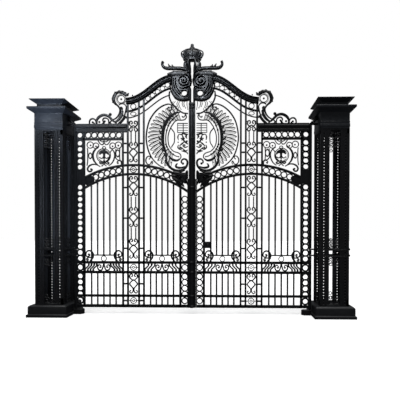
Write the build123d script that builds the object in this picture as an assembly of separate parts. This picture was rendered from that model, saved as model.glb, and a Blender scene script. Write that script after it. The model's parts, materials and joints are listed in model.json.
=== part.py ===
"""Wrought iron driveway gate: two swinging leaves hung on two openwork piers.

Everything is drawn about the middle of the gateway and shifted on export, so
that the origin is the centre of the left pier's foot. X runs along the gate,
Y away from the street, Z up. The right-hand half is drawn, then mirrored.
"""

import math
import os

from build123d import *

os.makedirs("parts", exist_ok=True)

# ---- across the leaf, from the centre line outwards --------------------------
POST_HALF = 74.0  # half width of the centre post
MEETING_GAP = 6.0  # between the centre post and the right leaf
EDGE_BAR = 12.0
RING_OD = 116.0  # the ring that fills every border
RING_WALL = 12.0
RING_SIDES = 8
BORDER_SIDES = 6  # the many small border rings have fewer faces
BORDER_BAR = 44.0  # bars that close the ring columns
INNER_BAY = 675.0
STILE_W = 36.0
PILASTER_SIDE = 60.0  # clear width between outer and middle stiles
PILASTER_BAY = 182.0  # clear width between the middle stiles
OUTER_BAY = 725.0
HEEL_D = 58.0  # across the flats of the heel post
HEEL_REACH = 132.0  # heel axis to the face of the pier
SHAFT = 540.0

MEETING_X = POST_HALF + MEETING_GAP
MEETING_IN = MEETING_X + EDGE_BAR
INNER_BAR_X0 = MEETING_IN + RING_OD
INNER_BAR_X1 = INNER_BAR_X0 + BORDER_BAR
STILE_1 = INNER_BAR_X1 + INNER_BAY
STILE_2 = STILE_1 + STILE_W + PILASTER_SIDE
STILE_3 = STILE_2 + STILE_W + PILASTER_BAY
STILE_4 = STILE_3 + STILE_W + PILASTER_SIDE
PILASTER_X = STILE_3 - PILASTER_BAY / 2
OUTER_BAY_X0 = STILE_4 + STILE_W
HINGE_BAR_X0 = OUTER_BAY_X0 + OUTER_BAY
HINGE_BAR_X1 = HINGE_BAR_X0 + BORDER_BAR
HEEL_FACE = HINGE_BAR_X1 + RING_OD
HEEL_X = HEEL_FACE + HEEL_D / 2
PIER_FACE = HEEL_X + HEEL_REACH
PIER_X = PIER_FACE + SHAFT / 2

# ---- up the leaf ---------------------------------------------------------------
LEAF_BOTTOM = 126.0
BOTTOM_RAIL_H = 58.0
SHOE_GAP = 151.0  # bottom rail to third rail
RAIL_H = 40.0
KICK_GAP = 420.0  # third rail to second rail
FRIEZE_GAP = 152.0  # second rail to first rail
HINGE_RINGS = 13
GUSSET_H = 280.0
HINGE_TOP_RINGS = 5
TOP_RAIL_H = 117.0
TOP_LIP_H = 42.0
TOP_RAIL_T = 84.0
LATTICE_T = 30.0
TRIM_T = 22.0  # thickness of light scrollwork

BOTTOM_TOP = LEAF_BOTTOM + BOTTOM_RAIL_H
RAIL_3_Z = BOTTOM_TOP + SHOE_GAP  # undersides of the rails
RAIL_2_Z = RAIL_3_Z + RAIL_H + KICK_GAP
RAIL_1_Z = RAIL_2_Z + RAIL_H + FRIEZE_GAP
BAY_Z = RAIL_1_Z + RAIL_H
GUSSET_Z = BAY_Z + RING_OD * HINGE_RINGS
SHOULDER_RAIL_Z = GUSSET_Z + GUSSET_H + RING_OD * HINGE_TOP_RINGS
TOP_RING_Z = SHOULDER_RAIL_Z + RAIL_H
TOP_RAIL_Z = TOP_RING_Z + RING_OD
TOP_RAIL_TOP = TOP_RAIL_Z + TOP_RAIL_H
SHELF_Z = TOP_RAIL_TOP + TOP_LIP_H
TOP_ROW_RINGS = 6

PICKET_W = 24.0
PICKETS_PER_BAY = 5
PICKET_DROP = 111.0  # short pickets stop this far above the first rail
TIE_H = 20.0
TIES_PER_BAY = 2

ARCH_R = 2000.0  # upper rail of the arched band
ARCH_BAND = 175.0  # between the two rails' centre lines
ARCH_RAIL_W = 50.0
ARCH_BELOW = 641.0  # its crown below the top rail
ARCH_RINGS = 6
ARCH_TOP = TOP_RAIL_Z - ARCH_BELOW
ARCH_Z = ARCH_TOP - ARCH_R
ARCH_R_LOW = ARCH_R - ARCH_BAND

# ---- crest ------------------------------------------------------------------------
SLIT_HALF = 25.0  # half the open joint above the centre post
BOSS_W = 427.0  # crest boss, from the joint to the heavy moulding
CREST_RISE = 1033.0  # heavy moulding's start above the top rail
CREST_FALL = 434.0
CREST_END_LAP = 12.0
CREST_W = 124.0
CREST_T = 96.0
CREST_DROP_2 = 198.0
CREST_DROP_3 = 326.0
CREST_RAIL_2_W = 44.0
CREST_RAIL_3_W = 26.0
CREST_RINGS = 4
CREST_X0 = SLIT_HALF + BOSS_W
CREST_Z0 = TOP_RAIL_Z + CREST_RISE
CREST_X1 = STILE_3 + STILE_W + CREST_END_LAP
CREST_Z1 = CREST_Z0 - CREST_FALL
POST_BELOW = 491.0  # post cap below the start of the heavy moulding
POST_TOP = CREST_Z0 - POST_BELOW
POST_T = 104.0
POST_CAP_H = 116.0
BOW_BELOW = 184.0
CROWN_ABOVE = 324.0
CROWN_SEAT_H = 8.0  # crown's foot over the right leaf's neck
CROWN_BAND_R = 174.0
CROWN_BAND_H = 68.0
CROWN_DOME_R = 222.0
CROWN_H = 347.0
CROWN_RIBS = 6
CROWN_Z = CREST_Z0 + CROWN_ABOVE
NECK_TOP = CROWN_Z - CROWN_SEAT_H

# ---- hinges --------------------------------------------------------------------------
EYE_CLEAR = 5.0  # hinge eyes inside the outline of the heel post
ARM_T = 24.0
ARM_GAP = 5.0
JOURNAL_R = 15.0
PIN_GAP = 1.0
HEEL_RUN = 18.0  # heel post above the pivot pad
PIN_LEN = 40.0
PAD_W = 140.0
PAD_REACH = 90.0

# ---- piers -----------------------------------------------------------------------------
FOOT = 775.0
FOOT_H = 55.0
PLINTH = 650.0
PLINTH_H = 164.0
DIE_H = 125.0
CAGE_H = 3093.0
CORNER = 46.0
SLIT = 48.0
PANEL_T = 12.0
PANEL_SET = 14.0  # panels behind the faces of the corner posts
HOOP_Z = 1140.0
HOOP_GAP = 88.0
HOOP_H = 30.0
FRIEZE_H = 399.0
COLLAR_DOWN = 277.0  # collar below the top of the frieze
COLLAR_H = 111.0
COLLAR_OUT = 12.0
CORNICE = 735.0
CORNICE_H = 108.0
CAP_NECK_H = 43.0
SLAB = 676.0
CAP_H = 111.0
SHAFT_Z = FOOT_H + PLINTH_H + DIE_H
CAGE_TOP = SHAFT_Z + CAGE_H
FRIEZE_TOP = CAGE_TOP + FRIEZE_H
CORNICE_TOP = FRIEZE_TOP + CORNICE_H
PIER_TOP = CORNICE_TOP + CAP_NECK_H + CAP_H
HOOP_ZS = (HOOP_Z + HOOP_H / 2, HOOP_Z + HOOP_H * 1.5 + HOOP_GAP)
LUG_ZS_HIGH = (2082.0, 2228.0)
LUG_LEN = 95.0
LUG_H = 36.0


# ---- drawing helpers, all in the plane of the leaf --------------------------------------
def plate(points, holes=()):
    """Flat face from its corner points, with optional holes."""
    outer = Wire.make_polygon([(x, 0, z) for x, z in points], close=True)
    inner = [Wire.make_polygon([(x, 0, z) for x, z in hole], close=True) for hole in holes]
    return Face(outer, inner) if inner else Face(outer)


def box_face(x0, x1, z0, z1):
    """Rectangle."""
    return plate([(x0, z0), (x1, z0), (x1, z1), (x0, z1)])


def round_points(x, z, r, sides=RING_SIDES, turn=0.0):
    """Corners of a flat-sided round whose flats lie at radius r."""
    step = 2 * math.pi / sides
    corner = r / math.cos(step / 2)
    turns = [math.radians(turn) + step * (i + 0.5) for i in range(sides)]
    return [(x + corner * math.cos(a), z + corner * math.sin(a)) for a in turns]


def ring(x, z, od=RING_OD, wall=RING_WALL, sides=RING_SIDES, turn=0.0):
    """Flat-sided ring."""
    hole = round_points(x, z, od / 2 - wall, sides, turn)
    return plate(round_points(x, z, od / 2, sides, turn), [hole])


def disc(x, z, r, sides=RING_SIDES):
    """Flat-sided disc."""
    return plate(round_points(x, z, r, sides))


def polar(x, z, r, angle):
    """Point at an angle, in degrees, about a centre."""
    return (x + r * math.cos(math.radians(angle)), z + r * math.sin(math.radians(angle)))


def arc(x, z, r, start, end, count=8):
    """Points along a circular arc, in degrees."""
    return [polar(x, z, r, start + (end - start) * i / count) for i in range(count + 1)]


def scroll(x, z, r0, r1, start, turns, count):
    """Points along a scroll that winds from radius r0 to r1."""
    points = []
    for i in range(count + 1):
        t = i / count
        points.append(polar(x, z, r0 + (r1 - r0) * t, start + 360 * turns * t))
    return points


def curve(p0, p1, p2, p3, count=6):
    """Points along a cubic curve."""
    points = []
    for i in range(count + 1):
        t = i / count
        u = 1 - t
        weights = (u**3, 3 * u * u * t, 3 * u * t * t, t**3)
        x = sum(w * p[0] for w, p in zip(weights, (p0, p1, p2, p3)))
        z = sum(w * p[1] for w, p in zip(weights, (p0, p1, p2, p3)))
        points.append((x, z))
    return points


def ribbon(points, width, tail=None):
    """Bar of even or tapering width along a line of points."""
    tail = width if tail is None else tail
    left, right = [], []
    last = len(points) - 1
    for i, (x, z) in enumerate(points):
        before = points[max(i - 1, 0)]
        after = points[min(i + 1, last)]
        dx, dz = after[0] - before[0], after[1] - before[1]
        half = (width + (tail - width) * i / last) / 2 / math.hypot(dx, dz)
        left.append((x - dz * half, z + dx * half))
        right.append((x + dz * half, z - dx * half))
    return plate(left + right[::-1])


def moved(points, dx, dz):
    """Points shifted."""
    return [(x + dx, z + dz) for x, z in points]


def flip(points, axis):
    """Points mirrored about a vertical line."""
    return [(2 * axis - x, z) for x, z in points]


def bar(faces, thickness):
    """Solid of even thickness from faces, centred in depth."""
    return extrude(Sketch() + list(faces), amount=thickness / 2, dir=(0, 1, 0), both=True)


def block(x0, x1, y0, y1, z0, z1):
    """Rectangular solid from its limits."""
    middle = Pos((x0 + x1) / 2, (y0 + y1) / 2, (z0 + z1) / 2)
    return middle * Box(x1 - x0, y1 - y0, z1 - z0)


def prism(x, z0, z1, width, sides=8):
    """Upright flat-sided bar in the leaf plane, with flats across X and Y."""
    corner = width / 2 / math.cos(math.pi / sides)
    plan = Rot(0, 0, 180 / sides) * RegularPolygon(corner, sides)
    return Pos(x, 0, z0) * extrude(plan, amount=z1 - z0)


def square_moulding(profile):
    """Square body about the pier axis from half widths and heights."""
    outline = profile + flip(profile[::-1], 0)
    reach = max(x for x, _ in profile)
    run = extrude(plate(outline), amount=reach, dir=(0, 1, 0), both=True)
    return Pos(PIER_X, 0, 0) * (run & (Rot(0, 0, 90) * run))


# ---- leaf lattice -----------------------------------------------------------------------
def arch_z(x, radius=ARCH_R):
    """Height of a rail of the arched band at x."""
    return ARCH_Z + math.sqrt(radius**2 - (x - PILASTER_X) ** 2)


def arch_angle(x, radius):
    """Angle of the arched band at x."""
    return math.degrees(math.acos((x - PILASTER_X) / radius))


def arch_line(radius, x0, x1, count):
    """Points of the arched band between two uprights."""
    return arc(PILASTER_X, ARCH_Z, radius, arch_angle(x0, radius), arch_angle(x1, radius), count)


def spaced(x0, x1, count):
    """Even places between two limits."""
    step = (x1 - x0) / (count + 1)
    return [x0 + step * (i + 1) for i in range(count)]


def bay_pickets(x0, x1):
    """Pickets of one bay with the short bar that ends the middle ones."""
    xs = spaced(x0, x1, PICKETS_PER_BAY)
    half = PICKET_W / 2
    stop = BAY_Z + PICKET_DROP
    faces = [box_face(xs[0], xs[-1], stop, stop + PICKET_W)]
    for x in xs:
        low = BAY_Z if x in (xs[0], xs[-1]) else stop
        faces.append(box_face(x - half, x + half, low - 1, arch_z(x, ARCH_R_LOW)))
        faces.append(box_face(x - half, x + half, BOTTOM_TOP - 1, RAIL_2_Z + 1))
    faces.append(ring((xs[0] + xs[-1]) / 2, BAY_Z + PICKET_DROP / 2, PICKET_DROP + 2))
    return faces


def tie_heights():
    """Short ties across the narrow sides of the pilaster."""
    zs = [(BOTTOM_TOP + RAIL_3_Z) / 2, RAIL_3_Z + RAIL_H + KICK_GAP / 2]
    zs += spaced(BAY_Z - 300, arch_z(PILASTER_X, ARCH_R_LOW), TIES_PER_BAY)
    zs.append((ARCH_TOP + SHOULDER_RAIL_Z) / 2)
    return zs


def lattice():
    """Stiles, rails and pickets, welded into one grille."""
    faces = [
        box_face(MEETING_X, MEETING_IN, LEAF_BOTTOM, POST_TOP),
        box_face(INNER_BAR_X0, INNER_BAR_X1, LEAF_BOTTOM, arch_z(INNER_BAR_X0)),
        box_face(HINGE_BAR_X0, HINGE_BAR_X1, LEAF_BOTTOM, TOP_RAIL_Z),
        box_face(MEETING_X, HEEL_FACE, LEAF_BOTTOM, BOTTOM_TOP),
        box_face(STILE_4, HEEL_FACE, SHOULDER_RAIL_Z, TOP_RING_Z),
        ribbon(arch_line(ARCH_R, INNER_BAR_X0, HINGE_BAR_X1, 8), ARCH_RAIL_W),
        ribbon(arch_line(ARCH_R_LOW, MEETING_X, HINGE_BAR_X1, 9), ARCH_RAIL_W),
    ]
    for z in (RAIL_3_Z, RAIL_2_Z, RAIL_1_Z):
        faces.append(box_face(MEETING_X, HEEL_FACE, z, z + RAIL_H))
    for x in (STILE_1, STILE_2, STILE_3):
        faces.append(box_face(x, x + STILE_W, LEAF_BOTTOM, crest_z(x + STILE_W / 2)))
    faces.append(box_face(STILE_4, OUTER_BAY_X0, LEAF_BOTTOM, TOP_RAIL_Z))
    for z in tie_heights():
        faces.append(box_face(STILE_1 + 1, STILE_2 + 1, z, z + TIE_H))
        faces.append(box_face(STILE_3 + 1, STILE_4 + 1, z, z + TIE_H))
    faces += bay_pickets(INNER_BAR_X1, STILE_1)
    faces += bay_pickets(OUTER_BAY_X0, HINGE_BAR_X0)
    made = bar(faces, LATTICE_T) - crest_arch()
    spill = ARCH_RAIL_W
    made -= block(MEETING_X - spill, MEETING_X, -LATTICE_T, LATTICE_T, 0, POST_TOP)
    return made - block(HINGE_BAR_X1, HINGE_BAR_X1 + spill, -LATTICE_T, LATTICE_T, BAY_Z, SHOULDER_RAIL_Z)


# ---- rings --------------------------------------------------------------------------------
def ring_strip(x, z0, count):
    """Column of rings that touch one another and the bars beside them."""
    half = RING_OD / 2
    outline = [(x - half, z0), (x + half, z0)]
    outline += [(x + half, z0 + RING_OD * count), (x - half, z0 + RING_OD * count)]
    centres = [z0 + RING_OD * (i + 0.5) for i in range(count)]
    return plate(outline, [round_points(x, z, half - RING_WALL, BORDER_SIDES) for z in centres])


def border_rings():
    """Rings of the meeting column, the hinge column and the top row."""
    meeting = MEETING_IN + RING_OD / 2
    hinge = HEEL_FACE - RING_OD / 2
    half = RING_OD / 2
    faces = []
    for x in (meeting, hinge):
        faces.append(ring_strip(x, (BOTTOM_TOP + RAIL_3_Z) / 2 - half, 1))
        count = int(KICK_GAP // RING_OD)
        faces.append(ring_strip(x, RAIL_2_Z - RING_OD * count, count))
        faces.append(ring_strip(x, (RAIL_2_Z + RAIL_H + RAIL_1_Z) / 2 - half, 1))
    room = arch_z(meeting, ARCH_R_LOW) - ARCH_RAIL_W / 2 - BAY_Z
    faces.append(ring_strip(meeting, BAY_Z, int(room // RING_OD)))
    faces.append(ring_strip(hinge, BAY_Z, HINGE_RINGS))
    faces.append(box_face(HINGE_BAR_X1, HEEL_FACE, GUSSET_Z, GUSSET_Z + GUSSET_H))
    faces.append(ring_strip(hinge, GUSSET_Z + GUSSET_H, HINGE_TOP_RINGS))
    faces.append(ring_strip(hinge, TOP_RING_Z, 1))
    step = OUTER_BAY / TOP_ROW_RINGS
    x0, x1, z0 = OUTER_BAY_X0, HINGE_BAR_X0, TOP_RING_Z
    centres = [x0 + step * (i + 0.5) for i in range(TOP_ROW_RINGS)]
    holes = [round_points(x, z0 + half, half - RING_WALL, BORDER_SIDES) for x in centres]
    row = [(x0, z0), (x1, z0), (x1, z0 + RING_OD), (x0, z0 + RING_OD)]
    faces.append(plate(row, holes))
    return bar(faces, LATTICE_T - 6)


def arch_rings():
    """Rings between the two rails of the arched band."""
    middle = ARCH_R - ARCH_BAND / 2
    size = ARCH_BAND - ARCH_RAIL_W
    faces = []
    for x0, x1 in ((OUTER_BAY_X0, HINGE_BAR_X0), (INNER_BAR_X1, STILE_1)):
        a0, a1 = arch_angle(x0, middle), arch_angle(x1, middle)
        step = (a1 - a0) / ARCH_RINGS
        holes = []
        for i in range(ARCH_RINGS):
            a = a0 + step * (i + 0.5)
            x, z = polar(PILASTER_X, ARCH_Z, middle, a)
            holes.append(round_points(x, z, size / 2 - RING_WALL - 2, BORDER_SIDES, a))
        low = arch_line(ARCH_R_LOW + 20, x0, x1, 3)
        high = arch_line(ARCH_R - 20, x0, x1, 3)
        faces.append(plate(low + high[::-1], holes))
    boss = PILASTER_BAY / 2
    faces.append(ring(PILASTER_X, ARCH_Z + middle, size - 1))
    faces.append(box_face(PILASTER_X - boss, PILASTER_X + boss, ARCH_Z + middle - 8, ARCH_Z + middle + 8))
    return bar(faces, LATTICE_T - 6)


# ---- heel post, top rail ----------------------------------------------------------------------
def pin_bar(z0, z1):
    """Journal on the hinge axis."""
    return prism(HEEL_X, z0, z1, 2 * JOURNAL_R * math.cos(math.pi / 8))


def pin_hole(z0, z1):
    """Hole that a journal turns in."""
    return prism(HEEL_X, z0, z1, 2 * (JOURNAL_R + PIN_GAP))


def heel_post():
    """Upright that turns in the arm eyes, with a pivot pin below."""
    foot = LEAF_BOTTOM - HEEL_RUN
    cuts = [foot]
    for z in HOOP_ZS:
        cuts += [z - HOOP_H / 2 - ARM_GAP, z + HOOP_H / 2 + ARM_GAP]
    cuts.append(TOP_RAIL_TOP)
    made = pin_bar(foot, TOP_RAIL_TOP + ARM_GAP + PIN_LEN)
    made += Pos(HEEL_X, 0, foot - PIN_LEN / 2) * Cylinder(JOURNAL_R, PIN_LEN + 2)
    for z0, z1 in zip(cuts[::2], cuts[1::2]):
        made += prism(HEEL_X, z0, z1, HEEL_D)
    return made


def top_rail():
    """Moulded rail over the outer half of the leaf."""
    wide, waist = TOP_RAIL_T / 2, TOP_RAIL_T / 2 - 16
    section = [
        (wide - 10, 0),
        (wide - 10, TOP_RAIL_H * 0.34),
        (waist, TOP_RAIL_H * 0.42),
        (waist, TOP_RAIL_H * 0.58),
        (wide - 8, TOP_RAIL_H * 0.7),
        (wide, TOP_RAIL_H * 0.78),
        (wide, TOP_RAIL_H),
        (waist, TOP_RAIL_H + TOP_LIP_H * 0.35),
        (waist, TOP_RAIL_H + TOP_LIP_H),
    ]
    outline = section + flip(section[::-1], 0)
    x0 = STILE_3 + STILE_W
    run = extrude(plate(outline), amount=HEEL_FACE - x0, dir=(0, -1, 0))
    return Pos(x0, 0, TOP_RAIL_Z) * (Rot(0, 0, 90) * run)


# ---- crest arch over the centre ------------------------------------------------------------------
def crest_line(drop=0.0, count=7):
    """Ogee of the crest, lowered by a drop."""
    run = CREST_X1 - CREST_X0
    p1 = (CREST_X0 + run * 0.35, CREST_Z0 - CREST_FALL * 0.17)
    p2 = (CREST_X1 - run * 0.43, CREST_Z1 + CREST_FALL * 0.02)
    return moved(curve((CREST_X0, CREST_Z0), p1, p2, (CREST_X1, CREST_Z1), count), 0, -drop)


def crest_z(x, drop=0.0):
    """Height of the crest's centre line at x."""
    line = crest_line(drop)
    for (xa, za), (xb, zb) in zip(line, line[1:]):
        if x <= xb:
            return za + (zb - za) * (x - xa) / (xb - xa)
    return line[-1][1]


def crest_arch():
    """Heavy crest moulding with its reeds and stopped end."""
    line = crest_line()
    reed = CREST_W * 0.2
    made = bar([ribbon(line, CREST_W)], CREST_T - 24)
    made += bar([ribbon(moved(line, 0, CREST_W * 0.3), reed)], CREST_T)
    end = ribbon([(CREST_X1 - 30, CREST_Z1), (CREST_X1, CREST_Z1)], CREST_W + 16)
    return made + bar([end], CREST_T)


def crest_rails():
    """Lighter rails under the crest with the rings that hold them off."""
    line_2 = crest_line(CREST_DROP_2)
    faces = [
        ribbon(line_2, CREST_RAIL_2_W),
        ribbon(crest_line(CREST_DROP_3), CREST_RAIL_3_W),
    ]
    gap = (CREST_W + CREST_RAIL_2_W) / 2
    for x in spaced(CREST_X0, STILE_1, CREST_RINGS):
        z = (crest_z(x) + crest_z(x, CREST_DROP_2) - (CREST_W - CREST_RAIL_2_W) / 2) / 2
        faces.append(ring(x, z, CREST_DROP_2 - gap - 8, RING_WALL, 6))
    x = PILASTER_X
    faces.append(ring(x, (crest_z(x, CREST_DROP_2) + crest_z(x, CREST_DROP_3)) / 2, 96, RING_WALL))
    return bar(faces, LATTICE_T - 4)


# ---- centre panel -----------------------------------------------------------------------------------
FAN_OFF = 145.0  # fan centre from the ring column's edge bar
FAN_UP = 533.0  # fan centre above the arched band's crown
FAN_LINE = 26.0
FAN_START = 66.0
FAN_END = -60.0
CRESCENT = 0.565  # crescent's radius as a part of the fan's
CRESCENT_W = 58.0
FEATHERS = 12
VOLUTE_R = 52.0
FAN_X = MEETING_IN + FAN_OFF
FAN_Z = ARCH_TOP + FAN_UP
FAN_R = STILE_1 - FAN_X - FAN_LINE / 2 + 1
CRESCENT_R = FAN_R * CRESCENT


def fan_panel():
    """Feathered fan, its crescent and the straps that hold it."""
    faces = [
        ribbon(arc(FAN_X, FAN_Z, FAN_R, FAN_START, FAN_END, 12), FAN_LINE),
        ribbon(arc(FAN_X, FAN_Z, CRESCENT_R, FAN_START + 14, FAN_END - 8, 10), 30, CRESCENT_W),
    ]
    for i in range(FEATHERS):
        a = FAN_START - 3 + (FAN_END - FAN_START + 4) * i / (FEATHERS - 1)
        root = polar(FAN_X, FAN_Z, CRESCENT_R + 8, a)
        tip = polar(FAN_X, FAN_Z, FAN_R - 2, a - 5)
        faces.append(ribbon([root, tip], 12, 22))
    foot = polar(FAN_X, FAN_Z, FAN_R, FAN_END)
    faces.append(ribbon([foot, (foot[0] - 12, arch_z(foot[0]))], FAN_LINE))
    top = polar(FAN_X, FAN_Z, FAN_R - VOLUTE_R + 10, FAN_START)
    faces.append(disc(top[0], top[1], VOLUTE_R))
    head = polar(FAN_X, FAN_Z, CRESCENT_R, FAN_START + 14)
    faces.append(ribbon([head, (head[0] - 60, head[1] + 4), (MEETING_IN, head[1] - 16)], 30))
    tail = polar(FAN_X, FAN_Z, CRESCENT_R, FAN_END - 8)
    curl = scroll(tail[0] - 150, tail[1] - 110, 190, 60, 30, -0.9, 8)
    faces.append(ribbon(curl, CRESCENT_W * 0.7, 20))
    faces.append(ribbon([(MEETING_IN, tail[1] - 210), (tail[0] - 150, tail[1] - 290)], 26))
    return bar(faces, LATTICE_T - 4)


def cartouche():
    """Plain half shield against the centre post."""
    top, low = FAN_Z + CRESCENT_R * 0.62, FAN_Z - CRESCENT_R * 0.68
    x0, x1 = MEETING_IN, FAN_X + 2
    outline = [(x0, top), (x0 + 98, top), (x1, top - 50)]
    outline += curve((x1, top - 50), (x1 - 70, top - 170), (x1 + 30, low + 220), (x0, low), 5)[1:]
    return bar([plate(outline)], LATTICE_T + 10)


def lower_boss():
    """Leaf boss over the arched band, beside the centre post."""
    x0, x1 = MEETING_IN, INNER_BAR_X0 + 40
    low, high = arch_z(MEETING_IN, ARCH_R_LOW) + 60, arch_z(INNER_BAR_X0) + 175
    outline = [(x0, high), (x1 - 50, high - 12)]
    outline += curve((x1, high - 70), (x1 + 10, high - 170), (x0 + 70, low + 80), (x0, low), 4)
    made = bar([plate(outline)], LATTICE_T + 30)
    keep = arch_z(INNER_BAR_X0) + ARCH_RAIL_W
    return made - block(INNER_BAR_X0, x1 + 20, -LATTICE_T, LATTICE_T, low - 50, keep)


# ---- crest boss ------------------------------------------------------------------------------------------
def crest_boss():
    """Acanthus scroll beside the centre line, with its neck and horn leaf."""
    x, z = SLIT_HALF, CREST_Z0 - 44
    top = z + 194
    body = [(x, z - 370), (x, top), (x + 150, top), (x + 300, z + 170)]
    body += [(CREST_X0, CREST_Z0 + CREST_W / 2), (CREST_X0, CREST_Z0 - CREST_W / 2)]
    body += curve((x + 330, z - 100), (x + 330, z - 220), (x + 250, z - 330), (x + 120, z - 370), 4)
    hole = round_points(x + 108, z - 232, 56, 6)
    neck = [(x, top), (x, NECK_TOP), (x + 90, NECK_TOP), (x + 150, top + 60), (x + 150, top)]
    horn = [(x + 110, z + 190)]
    horn += curve((x + 240, top + 40), (x + 400, top + 60), (x + 500, top + 110), (x + 545, top + 192), 3)
    horn += [(x + 585, top + 96), (x + 520, z + 210), (CREST_X0, CREST_Z0 + CREST_W / 2)]
    made = bar([plate(body, [hole])], 64)
    made += bar([plate(neck)], 90)
    made += bar([plate(horn)], 44)
    volute = ribbon(scroll(x + 120, z, 135, 42, 40, 1.4, 10), 34, 18)
    return made + bar([volute], 96)


def crest_bow():
    """Thin bow under the boss, tied to the centre post."""
    low = POST_TOP - BOW_BELOW
    start = (CREST_X0, CREST_Z0 - CREST_W / 2 + 4)
    line = [start] + curve(
        (CREST_X0 - 8, crest_z(CREST_X0, CREST_DROP_3)),
        (CREST_X0 - 20, low + 90),
        (CREST_X0 - 140, low),
        (MEETING_IN, low),
        6,
    )
    return bar([ribbon(line, CREST_RAIL_3_W)], TRIM_T)


# ---- lighter scrollwork ------------------------------------------------------------------------------------
def crossing(z, up, down):
    """Pair of scrolls that cross on the pilaster's axis."""
    low, high = STILE_2 + STILE_W, STILE_3
    line = [
        (low + 5, z + up),
        (PILASTER_X, z),
        (high - 34, z - down * 0.34),
        (PILASTER_X, z - down * 0.68),
        (high - 5, z - down),
    ]
    return [ribbon(line, 16), ribbon(flip(line, PILASTER_X), 16)]


def pilaster_scrolls():
    """Crossing scrolls between the middle stiles."""
    faces = crossing(RAIL_2_Z - 135, 100, 190)
    bay = arch_z(PILASTER_X, ARCH_R_LOW) - BAY_Z
    for i in range(3):
        faces += crossing(BAY_Z + bay * (0.27 + 0.3 * i), 120, 235)
    upper = SHOULDER_RAIL_Z - ARCH_TOP
    faces += crossing(ARCH_TOP + upper * 0.66, 110, 230)
    faces += crossing(TOP_RAIL_TOP, 110, 230)
    return bar(faces, TRIM_T)


def frieze_scrolls():
    """Slanting strokes and ringed middles between the two middle rails."""
    low, high = RAIL_2_Z + RAIL_H - 1, RAIL_1_Z + 1
    z = (low + high) / 2
    faces = [ring(PILASTER_X, z, high - low, 16)]
    for x0, x1 in ((INNER_BAR_X1, STILE_1), (OUTER_BAY_X0, HINGE_BAR_X0)):
        middle = (x0 + x1) / 2
        faces.append(ring(middle, z, high - low, 16))
        for side in (-1, 1):
            for i in range(3):
                x = middle + side * (135 + 82 * i)
                faces.append(ribbon([(x - 38 * side, low), (x + 38 * side, high)], 16))
    return bar(faces, TRIM_T)


SHOULDER_R = 204.0
SHOULDER_EYE = 136.0


def shoulder_panel():
    """Lyre panel between the arched band and the rail above it."""
    x = (OUTER_BAY_X0 + HINGE_BAR_X0) / 2
    top = SHOULDER_RAIL_Z
    z = top - 60 - SHOULDER_R
    faces = [ring(x, z, 2 * SHOULDER_R, 22, 10), ring(x, z, 2 * SHOULDER_EYE, 16, 8)]
    faces.append(box_face(x - 10, x + 10, z + SHOULDER_EYE - 8, top + 1))
    faces.append(box_face(x - 10, x + 10, arch_z(x), z - SHOULDER_EYE + 8))
    for side in (-1, 1):
        wall = OUTER_BAY / 2 * side
        curl = x + side * (OUTER_BAY / 2 - 76)
        faces.append(ring(curl, top - 64, 130, 20))
        stem = curve(
            (curl, top - 120),
            (x + wall - side * 20, z - 30),
            (x + wall - side * 120, z - SHOULDER_R + 40),
            (x, z - SHOULDER_R - 6),
            5,
        )
        faces.append(ribbon(stem, 22))
        faces.append(box_face(x + side * SHOULDER_R - 12, x + wall, z - 8, z + 8))
    return bar(faces, LATTICE_T - 4)


def shoulder_scroll():
    """Leaf scroll and hump leaf that stand on the top rail."""
    x, z = CREST_X1, SHELF_Z
    volute = ring(x + 92, z + 480, 160, 44)
    back = [(x - 20, z + 530), (x + 60, z + 620), (x + 170, z + 640)]
    back += [(x + 290, z + 480), (x + 210, z + 345), (x + 150, z + 420)]
    neck = curve((x + 215, z + 380), (x + 50, z + 250), (x + 60, z + 100), (x + 240, z - 2), 6)
    hump = curve((x + 270, z - 2), (x + 330, z + 250), (x + 560, z + 230), (x + 590, z - 2), 6)
    ogee = [(x + 740, z - 1), (x + 780, z + 60), (x + 870, z + 46), (HEEL_FACE - 20, z - 1)]
    faces = [volute, plate(back), ribbon(neck, 44), ribbon(hump, 48), plate(ogee)]
    faces.append(ring(x + 425, z + 58, 120, 24))
    faces.append(ring(x + 670, z + 56, 116, 24))
    made = bar(faces, 44)
    return made - block(x - 100, HEEL_X, -50, 50, z - 80, z)


# ---- centre pieces on the left leaf ---------------------------------------------------------------------
def centre_post():
    """Banded post over the joint of the leaves, carried by the left leaf."""
    x0, x1 = -MEETING_X, POST_HALF
    half, cut = POST_T / 2, 30.0
    plan = [(x0, -half + cut), (x0 + cut, -half), (x1 - cut, -half), (x1, -half + cut)]
    plan += [(x, -y) for x, y in plan[::-1]]
    shaft = extrude(make_face(Polyline(*plan, close=True)), amount=POST_TOP - 40 - LEAF_BOTTOM)
    made = Pos(0, 0, LEAF_BOTTOM) * shaft
    for z0, z1 in ((POST_TOP - POST_CAP_H, POST_TOP - 80), (POST_TOP - 40, POST_TOP)):
        made += block(x0, x1, -half - 6, half + 6, z0, z1)
    return made


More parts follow.
